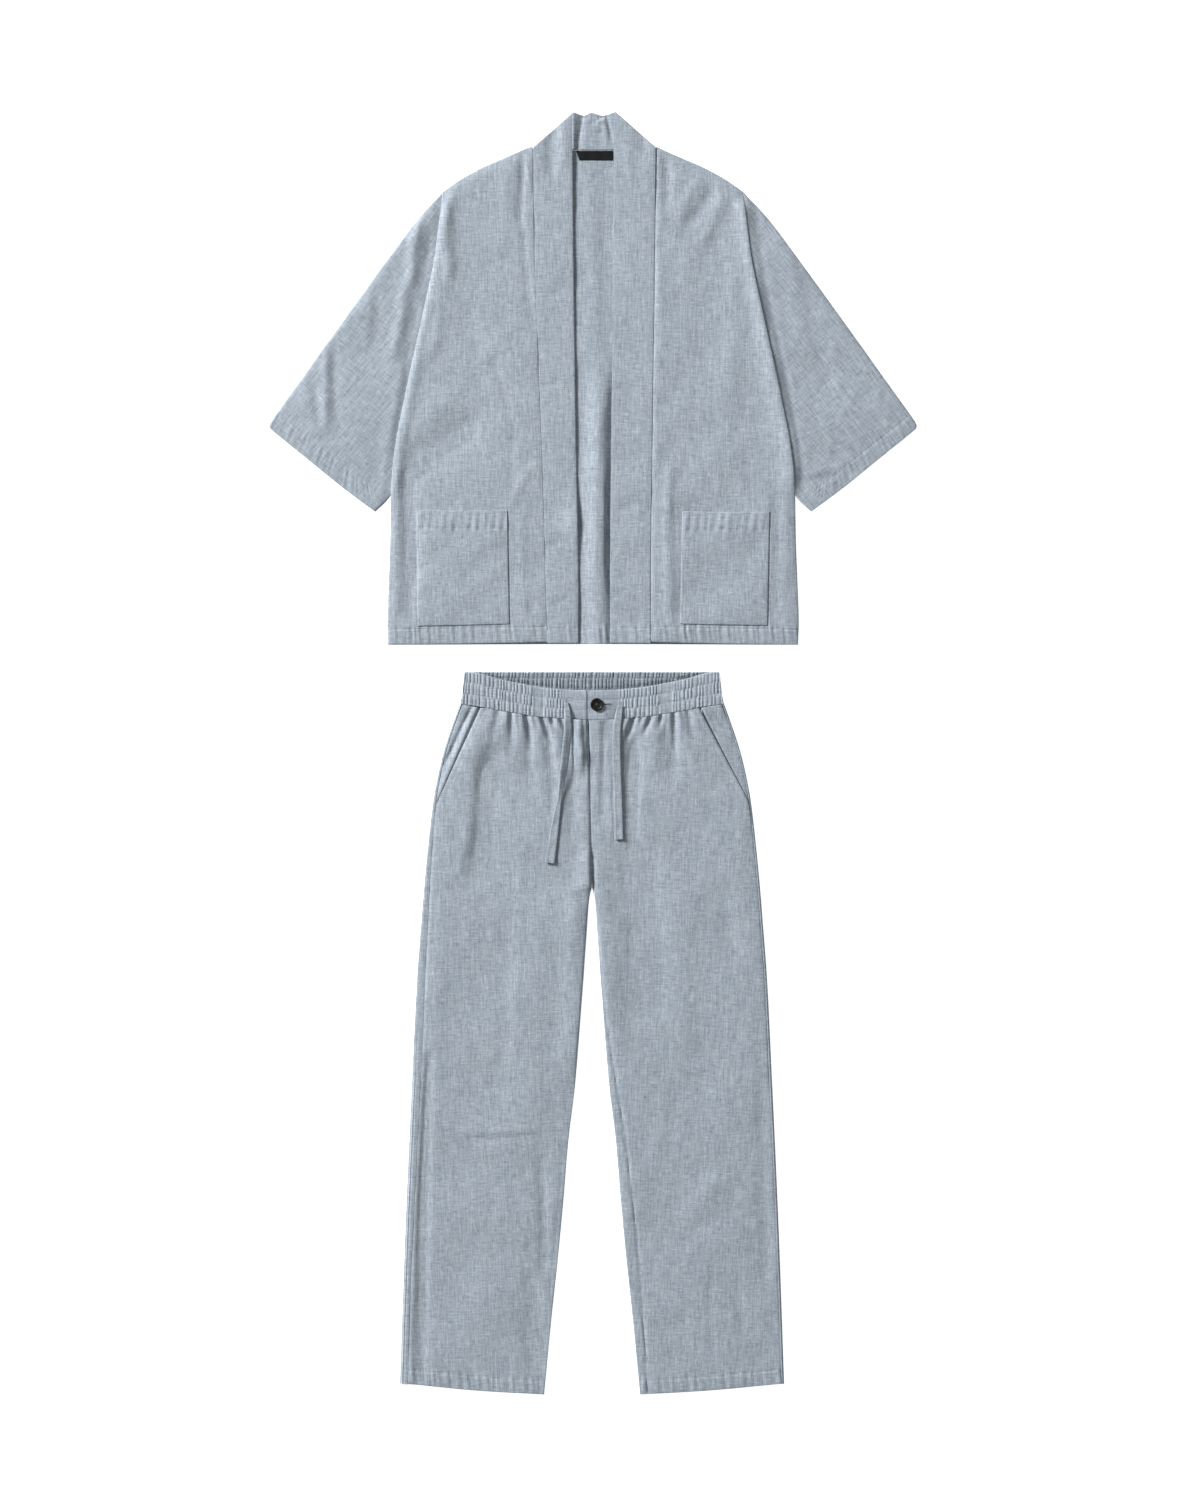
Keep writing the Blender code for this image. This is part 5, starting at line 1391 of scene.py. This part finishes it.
def make_button(band, sizes):
    """A turned button: round rim, dished face, four thread holes and the thread through them."""
    read = surface_reader([band])
    centre = in_trousers(BUTTON_AT.across, BUTTON_AT.down, 0.0)
    reach = sizes.button_diameter / 2
    around = [read(centre[0] + reach * MM * math.cos(angle), centre[1] + reach * MM * math.sin(angle))
              for angle in range(7)]
    floor = max(around) + 0.3 * MM
    profile = [(0.0, 0.0), (reach - 1.8, 0.0), (reach - 0.7, 0.35), (reach - 0.15, 1.0), (reach, 1.6),
               (reach - 0.15, 2.2), (reach - 0.6, 2.75), (reach - 1.2, 3.0), (reach - 1.8, 2.9),
               (reach - 2.5, 2.4), (reach - 3.2, 2.1), (0.0, 2.0)]
    deselect_all()
    mesh = bpy.data.meshes.new("button_horn_disc")
    shape = bmesh.new()
    made = [shape.verts.new((centre[0] + out * MM, centre[1], floor + up * MM)) for out, up in profile]
    for first, second in zip(made, made[1:]):
        shape.edges.new((first, second))
    shape.to_mesh(mesh)
    shape.free()
    button = bpy.data.objects.new("button_horn_disc", mesh)
    bpy.context.collection.objects.link(button)
    bpy.context.view_layer.objects.active = button
    button.select_set(True)
    bpy.ops.object.mode_set(mode="EDIT")
    bpy.ops.mesh.select_all(action="SELECT")
    bpy.ops.mesh.spin(steps=64, angle=2 * math.pi, center=(centre[0], centre[1], floor), axis=(0, 0, 1))
    bpy.ops.mesh.select_all(action="SELECT")
    bpy.ops.mesh.remove_doubles(threshold=0.00001)
    bpy.ops.mesh.normals_make_consistent(inside=False)
    bpy.ops.object.mode_set(mode="OBJECT")
    hole_reach = 2.1 * MM
    holes = []
    for index in range(4):
        angle = math.radians(45 + 90 * index)
        spot = (centre[0] + hole_reach * math.cos(angle), centre[1] + hole_reach * math.sin(angle))
        holes.append(spot)
        bpy.ops.mesh.primitive_cylinder_add(
            vertices=20, radius=0.85 * MM, depth=12 * MM, location=(*spot, floor))
        cutter = bpy.context.object
        bpy.context.view_layer.objects.active = button
        cut = button.modifiers.new("thread_hole", "BOOLEAN")
        cut.object = cutter
        cut.solver = "EXACT"
        bpy.ops.object.modifier_apply(modifier=cut.name)
        bpy.data.objects.remove(cutter, do_unlink=True)
    deselect_all()
    button.data.shade_smooth()
    button.data.set_sharp_from_angle(angle=math.radians(40))
    button.data.materials.append(material_for("button_horn"))
    declare(button, ["button"])
    deselect_all()
    threads = []
    for first, second in ((0, 2), (1, 3)):
        start = Vector((*holes[first], floor + 2.05 * MM))
        end = Vector((*holes[second], floor + 2.05 * MM))
        middle = (start + end) / 2
        heading = math.atan2(end.y - start.y, end.x - start.x)
        for offset in (-0.28, 0.0, 0.28):
            shift = Vector((-math.sin(heading), math.cos(heading), 0)) * offset * MM
            bpy.ops.mesh.primitive_cylinder_add(
                vertices=8, radius=0.22 * MM, depth=(end - start).length,
                location=middle + shift + Vector((0, 0, 0.2 * MM)), rotation=(0, math.pi / 2, heading))
            threads.append(bpy.context.object)
    deselect_all()
    for thread in threads:
        thread.select_set(True)
    bpy.context.view_layer.objects.active = threads[0]
    bpy.ops.object.join()
    bpy.ops.object.transform_apply(location=True, rotation=True, scale=True)
    cross = bpy.context.object
    cross.name = "button_thread_cross"
    cross.data.shade_smooth()
    cross.data.materials.append(material_for("button_thread"))
    deselect_all()
    declare(cross, [])


def make_buttonhole(name, read, start, end, half):
    """A worked slit: close stitches across both lips, with a bar at each end."""
    start = np.array(start, float)
    end = np.array(end, float)
    run = end - start
    length = np.hypot(*run)
    ahead = run / length
    beside = np.array([-ahead[1], ahead[0]])
    rows = []
    for side in (-1, 1):
        for reach in np.arange(0.0, length, 0.62):
            foot = start + ahead * reach + beside * side * 0.25
            tip = start + ahead * reach + beside * side * half
            rows.append(stitch_row(read, in_trousers, line([foot, tip]), half * 0.75, 0.05, 0.55, 0.35))
    for place in (start, end):
        for reach in (-0.5, 0.0, 0.5):
            bar = [place + ahead * reach - beside * half, place + ahead * reach + beside * half]
            rows.append(stitch_row(read, in_trousers, line(bar), half * 1.8, 0.05, 0.55, 0.5))
    item = stitching_piece(name, rows, material_for("sewing_thread"))
    declare(item, [])


def cloth(name):
    """A piece that is already made."""
    return bpy.data.objects[name]


def make_jacket_stitching(sizes):
    """The rows of stitches on the hems, bands, cuffs and pockets."""
    rows = []
    for side, word in SIDES:
        hem = jacket_front_outline(side)[1]
        read = surface_reader([cloth(f"front_cloth_{word}"), cloth(f"neckband_cloth_{word}")])
        hem_line = hem - np.array([0.0, sizes.jacket_hem])
        rows.append(stitch_row(read, in_jacket, hem_line))
        band = neckband_outline(side)
        rows.append(stitch_row(read, in_jacket, band[1] - np.array([0.0, sizes.jacket_hem])))
        rows.append(stitch_row(read, in_jacket, band[3][4:] - np.array([side * 2.2, 0.0])))
        sleeve = surface_reader([cloth(f"sleeve_cloth_{word}")])
        cuff = curve(on_side(CUFF, side))
        inward = np.array([-side * 0.628, -0.778]) * sizes.cuff_hem
        cuff_line = along(cuff + inward, np.linspace(0.0, 1.0, 40))
        rows.append(stitch_row(sleeve, in_jacket, cuff_line))
        pocket = surface_reader([cloth(f"pocket_cloth_{word}")])
        corners = line(POCKET_RIGHT if side > 0 else POCKET_LEFT)
        in_x = np.array([-side * 3.0, 0.0])
        up = np.array([0.0, -3.0])
        rows.append(stitch_row(pocket, in_jacket, line([corners[0] + in_x, corners[3] + in_x + up])))
        rows.append(stitch_row(pocket, in_jacket, line([corners[3] + in_x + up, corners[2] - in_x + up])))
        rows.append(stitch_row(pocket, in_jacket, line([corners[1] - in_x, corners[2] - in_x + up])))
        drop = np.array([0.0, sizes.pocket_hem])
        rows.append(stitch_row(pocket, in_jacket, line([corners[0] + drop + in_x, corners[1] + drop - in_x])))
    back = surface_reader([cloth("back_cloth")])
    hem_row = JACKET_HEM_DOWN - sizes.jacket_hem
    rows.append(stitch_row(back, in_jacket, line([(-19, hem_row), (23, hem_row)])))
    collar = surface_reader([cloth("collar_cloth")])
    rows.append(stitch_row(collar, in_jacket, line([(-26, 51.4), (30, 51.6)])))
    item = stitching_piece("jacket_stitches", rows, material_for("sewing_thread"))
    declare(item, [])


def make_trouser_stitching(sizes):
    """The rows of stitches on the hems, pocket mouths, seams, fly and band."""
    rows = []
    for side, word in SIDES:
        leg = surface_reader([cloth(f"front_leg_cloth_{word}")])
        back = surface_reader([cloth(f"back_leg_cloth_{word}"), cloth(f"front_leg_cloth_{word}")])
        band = surface_reader([cloth(f"waistband_cloth_{word}")])
        _, hem, _, outer = front_leg_outline(side)
        rows.append(stitch_row(back, in_trousers, hem - np.array([0.0, sizes.trouser_hem])))
        slant = line(on_side(SLANT_RIGHT if side > 0 else SLANT_LEFT, side))
        if side > 0:
            # The right row starts a little below the waistband's seam.
            slant[0, 1] += 2 * SEAM
        rows.append(stitch_row(leg, in_trousers, slant - np.array([side * 7.0, 0.0])))
        side_seam = outer[2:]
        rows.append(stitch_row(leg, in_trousers, side_seam - np.array([side * 2.0, 0.0])))
        rows.append(stitch_row(leg, in_trousers, side_seam - np.array([side * 6.5, 0.0])))
        spread = np.linspace(OVERLAP_START + 2 if side > 0 else 12.0, side * 180.0, 60)
        top_edge = outline_down(WAIST_DIP, spread)
        low_edge = outline_down(WAIST_SEAM, spread)
        for share in CASING_ROWS:
            row = np.stack([spread, top_edge + (low_edge - top_edge) * share], axis=-1)
            rows.append(stitch_row(band, in_trousers, row, 2.6, 1.0))
    leg = surface_reader([cloth("front_leg_cloth_right")])
    fly = curve([Point(27, 70), Point(27, 150), Point(26, 190), Point(18, 218), Point(4, 236)])
    rows.append(stitch_row(leg, in_trousers, fly))
    rows.append(stitch_row(leg, in_trousers, line(INNER_SEAM_RIGHT) + np.array([2.4, 0.0])))
    back_band = surface_reader([cloth("waistband_back_cloth")])
    rows.append(stitch_row(back_band, in_trousers, line([(-150, 8.6), (150, 8.6)]), 2.6, 1.0))
    item = stitching_piece("trouser_stitches", rows, material_for("sewing_thread"))
    declare(item, [])


# Stage

def add_area_light(name, place, size, power):
    """A square light that shines at the set's middle."""
    light = bpy.data.lights.new(name, "AREA")
    light.shape = "RECTANGLE"
    light.size = size
    light.size_y = size
    light.energy = power
    item = bpy.data.objects.new(name, light)
    item.location = place
    item.rotation_euler = (-Vector(place)).to_track_quat("-Z", "Y").to_euler()
    bpy.context.collection.objects.link(item)


def make_stage(stage):
    """The floor, the lights and the camera straight above."""
    deselect_all()
    bpy.ops.mesh.primitive_grid_add(
        x_subdivisions=8, y_subdivisions=8, size=FLOOR_SIZE, location=(0, 0, -FLOOR_DROP))
    floor = bpy.context.object
    floor.name = "pale_floor"
    bpy.ops.object.transform_apply(location=True, rotation=True, scale=True)
    floor.data.materials.append(material_for("pale_floor_paint"))
    deselect_all()
    world = bpy.data.worlds.new("soft_studio")
    world.use_nodes = True
    background = world.node_tree.nodes["Background"]
    background.inputs["Color"].default_value = (1.0, 1.0, 1.0, 1.0)
    background.inputs["Strength"].default_value = stage.fill_light
    bpy.context.scene.world = world
    add_area_light("key_light", KEY_LIGHT_AT, KEY_LIGHT_SIZE, stage.key_light)
    camera = bpy.data.cameras.new("camera_above")
    camera.sensor_fit = "AUTO"
    camera.sensor_width = 36.0
    camera.lens = stage.camera_lens
    distance = camera.lens / camera.sensor_width * stage.frame_height
    item = bpy.data.objects.new("camera_above", camera)
    item.location = (stage.view_across, stage.view_up, distance)
    bpy.context.collection.objects.link(item)
    bpy.context.scene.camera = item
    bpy.context.scene.view_settings.view_transform = "Standard"
    bpy.context.scene.view_settings.look = "None"


# Settings

class KimonoSetSizes(bpy.types.PropertyGroup):
    """Sizes of the cloth, hems and fittings, in millimetres."""
    mesh_step: bpy.props.FloatProperty(
        name="Cloth Mesh Step", description="Spacing of the cloth's points in millimetres", default=3.6,
        min=1.5)
    fold_strength: bpy.props.FloatProperty(
        name="Fold Strength", description="How far the soft folds rise and sink", default=1.7,
        min=0.0, max=3.0)
    jacket_hem: bpy.props.FloatProperty(
        name="Jacket Hem", description="Depth of the jacket's turned hem in millimetres", default=21.0)
    cuff_hem: bpy.props.FloatProperty(
        name="Cuff Hem", description="Depth of the sleeve's turned hem in millimetres", default=21.0)
    pocket_hem: bpy.props.FloatProperty(
        name="Pocket Hem", description="Depth of the pocket's turned top in millimetres", default=24.0)
    trouser_hem: bpy.props.FloatProperty(
        name="Trouser Hem", description="Depth of the trousers' turned hem in millimetres", default=19.0)
    rib_pitch: bpy.props.FloatProperty(
        name="Rib Pitch", description="Width of one gathered rib of the waistband in millimetres",
        default=5.1)
    rib_height: bpy.props.FloatProperty(
        name="Rib Height", description="Rise of the waistband's ribs in millimetres", default=1.45)
    button_diameter: bpy.props.FloatProperty(
        name="Button Diameter", description="Outer width of the button in millimetres", default=18.0)
    sleeve_turn: bpy.props.FloatProperty(
        name="Sleeve Grain", description="Angle of the sleeve's threads to the jacket's",
        default=math.radians(38), subtype="ANGLE", unit="ROTATION")


class KimonoSetColours(bpy.types.PropertyGroup):
    """Colours of the cloth and its fittings."""
    cloth: bpy.props.FloatVectorProperty(
        name="Cloth", description="Ground colour of the outside", subtype="COLOR", size=3,
        default=(0.318, 0.364, 0.416), min=0.0, max=1.0)
    cloth_inside: bpy.props.FloatVectorProperty(
        name="Cloth Inside", description="Ground colour of the inside", subtype="COLOR", size=3,
        default=(0.306, 0.352, 0.404), min=0.0, max=1.0)
    # The waistband's inside has a darker ground than the other cloth: painted shade over the whole back band.
    waistband_inside_painted_shade: bpy.props.FloatVectorProperty(
        name="Waistband Lining", description="Ground colour inside the waistband", subtype="COLOR", size=3,
        default=(0.232, 0.270, 0.313), min=0.0, max=1.0)
    pale_fleck: bpy.props.FloatVectorProperty(
        name="Pale Slub", description="Colour of the pale threads", subtype="COLOR", size=3,
        default=(0.56, 0.61, 0.655), min=0.0, max=1.0)
    dark_fleck: bpy.props.FloatVectorProperty(
        name="Dark Slub", description="Colour of the dark threads", subtype="COLOR", size=3,
        default=(0.125, 0.160, 0.205), min=0.0, max=1.0)
    fleck_strength: bpy.props.FloatProperty(
        name="Slub Strength", description="How far the threads differ from the ground", default=0.37,
        min=0.0, max=1.0)
    label: bpy.props.FloatVectorProperty(
        name="Label", description="Colour of the neck label", subtype="COLOR", size=3,
        default=(0.0025, 0.003, 0.0035), min=0.0, max=1.0)
    button: bpy.props.FloatVectorProperty(
        name="Button", description="Colour of the button", subtype="COLOR", size=3,
        default=(0.006, 0.006, 0.0065), min=0.0, max=1.0)
    thread: bpy.props.FloatVectorProperty(
        name="Thread", description="Colour of the sewing thread", subtype="COLOR", size=3,
        default=(0.245, 0.285, 0.335), min=0.0, max=1.0)
    floor: bpy.props.FloatVectorProperty(
        name="Floor", description="Colour of the floor", subtype="COLOR", size=3,
        default=(0.90, 0.90, 0.90), min=0.0, max=1.0)


class KimonoSetStage(bpy.types.PropertyGroup):
    """The camera's frame and the lights."""
    frame_height: bpy.props.FloatProperty(
        name="Frame Height", description="Height of the floor that the camera sees", default=2.1,
        subtype="DISTANCE", unit="LENGTH")
    camera_lens: bpy.props.FloatProperty(
        name="Lens", description="Focal length of the camera in millimetres", default=100.0)
    view_across: bpy.props.FloatProperty(
        name="View Across", description="Middle of the view across the floor", default=0.0098,
        subtype="DISTANCE", unit="LENGTH")
    view_up: bpy.props.FloatProperty(
        name="View Up", description="Middle of the view up the floor", default=0.0043,
        subtype="DISTANCE", unit="LENGTH")
    key_light: bpy.props.FloatProperty(
        name="Key Light", description="Power of the large light on the left", default=2460.0,
        subtype="POWER", unit="POWER")
    fill_light: bpy.props.FloatProperty(
        name="Fill Light", description="Strength of the light from all round", default=0.29)


# Operators

class MakeJacketBack(bpy.types.Operator):
    """Makes the jacket's back, the collar behind the neck and the label"""
    bl_idname = "kimono_set.jacket_back"
    bl_label = "Jacket Back"

    def execute(self, context):
        sizes = context.scene.kimono_set_sizes
        make_jacket_back(sizes)
        make_collar()
        make_label()
        return {"FINISHED"}


class MakeSleeves(bpy.types.Operator):
    """Makes the two sleeves, each a flattened tube"""
    bl_idname = "kimono_set.sleeves"
    bl_label = "Sleeves"

    def execute(self, context):
        for side, word in SIDES:
            make_sleeve(side, word, context.scene.kimono_set_sizes)
        return {"FINISHED"}


class MakeJacketFronts(bpy.types.Operator):
    """Makes the fronts with their neckbands and patch pockets"""
    bl_idname = "kimono_set.jacket_fronts"
    bl_label = "Jacket Fronts"

    def execute(self, context):
        sizes = context.scene.kimono_set_sizes
        for side, word in SIDES:
            front = make_jacket_front(side, word, sizes)
            make_neckband(side, word, sizes)
            make_pocket(side, word, front, sizes)
        return {"FINISHED"}


class MakeLegs(bpy.types.Operator):
    """Makes the trousers' backs, pocket facings and fronts"""
    bl_idname = "kimono_set.legs"
    bl_label = "Trouser Legs"

    def execute(self, context):
        sizes = context.scene.kimono_set_sizes
        for side, word in SIDES:
            make_back_leg(side, word, sizes)
            make_facing(side, word, sizes)
            make_front_leg(side, word, sizes)
        return {"FINISHED"}


class MakeWaistband(bpy.types.Operator):
    """Makes the ribbed waistband, back and front"""
    bl_idname = "kimono_set.waistband"
    bl_label = "Waistband"

    def execute(self, context):
        sizes = context.scene.kimono_set_sizes
        make_waistband_back(sizes)
        for side, word in SIDES:
            make_waistband_front(side, word, sizes)
        return {"FINISHED"}


class MakeDrawstrings(bpy.types.Operator):
    """Makes the drawstring's two free ends and their eyelets"""
    bl_idname = "kimono_set.drawstrings"
    bl_label = "Drawstrings"

    def execute(self, context):
        for rows, word in ((STRING_LEFT, "left"), (STRING_RIGHT, "right")):
            under = [cloth(f"front_leg_cloth_{word}"), cloth(f"waistband_cloth_{word}")]
            make_drawstring(rows, under, word)
            read = surface_reader([cloth(f"waistband_cloth_{word}")])
            place = rows[0]
            make_buttonhole(f"eyelet_{word}", read, (place.across, place.down - 5.0),
                            (place.across, place.down + 3.0), 1.7)
        return {"FINISHED"}


class MakeButton(bpy.types.Operator):
    """Makes the button, its thread and the buttonhole beside it"""
    bl_idname = "kimono_set.button"
    bl_label = "Button"

    def execute(self, context):
        sizes = context.scene.kimono_set_sizes
        band = cloth("waistband_cloth_right")
        make_button(band, sizes)
        read = surface_reader([band])
        make_buttonhole("buttonhole", read, (14.0, 45.6), (27.0, 45.4), 1.6)
        return {"FINISHED"}


class MakeStitching(bpy.types.Operator):
    """Sews the rows of stitches on both garments"""
    bl_idname = "kimono_set.stitching"
    bl_label = "Stitching"

    def execute(self, context):
        make_jacket_stitching(context.scene.kimono_set_sizes)
        make_trouser_stitching(context.scene.kimono_set_sizes)
        return {"FINISHED"}


class MakeStage(bpy.types.Operator):
    """Lays the floor and sets the lights and the camera above the set"""
    bl_idname = "kimono_set.stage"
    bl_label = "Stage"

    def execute(self, context):
        make_stage(context.scene.kimono_set_stage)
        return {"FINISHED"}


class KimonoSetPanel(bpy.types.Panel):
    """Lists the set's pieces in the 3D view's sidebar"""
    bl_idname = "VIEW3D_PT_kimono_set"
    bl_label = "Kimono Set"
    bl_space_type = "VIEW_3D"
    bl_region_type = "UI"
    bl_category = "Kimono Set"

    def draw(self, context):
        for group in ("kimono_set_sizes", "kimono_set_colours", "kimono_set_stage"):
            settings = getattr(context.scene, group)
            box = self.layout.box()
            for key in settings.bl_rna.properties.keys():
                if key not in ("rna_type", "name"):
                    box.prop(settings, key)
        for operator in OPERATORS:
            self.layout.operator(operator.bl_idname)


OPERATORS = [
    MakeStage, MakeJacketBack, MakeSleeves, MakeJacketFronts, MakeLegs, MakeWaistband, MakeDrawstrings,
    MakeButton, MakeStitching,
]
GROUPS = {
    "kimono_set_sizes": KimonoSetSizes,
    "kimono_set_colours": KimonoSetColours,
    "kimono_set_stage": KimonoSetStage,
}


def register():
    for group in GROUPS.values():
        bpy.utils.register_class(group)
    for name, group in GROUPS.items():
        setattr(bpy.types.Scene, name, bpy.props.PointerProperty(type=group))
    for operator in OPERATORS:
        bpy.utils.register_class(operator)
    bpy.utils.register_class(KimonoSetPanel)


def unregister():
    bpy.utils.unregister_class(KimonoSetPanel)
    for operator in reversed(OPERATORS):
        bpy.utils.unregister_class(operator)
    for name, group in GROUPS.items():
        delattr(bpy.types.Scene, name)
        bpy.utils.unregister_class(group)


def main():
    register()
    bpy.ops.kimono_set.stage()
    bpy.ops.kimono_set.jacket_back()
    bpy.ops.kimono_set.sleeves()
    bpy.ops.kimono_set.jacket_fronts()
    bpy.ops.kimono_set.legs()
    bpy.ops.kimono_set.waistband()
    bpy.ops.kimono_set.drawstrings()
    bpy.ops.kimono_set.button()
    bpy.ops.kimono_set.stitching()


if __name__ == "__main__":
    main()
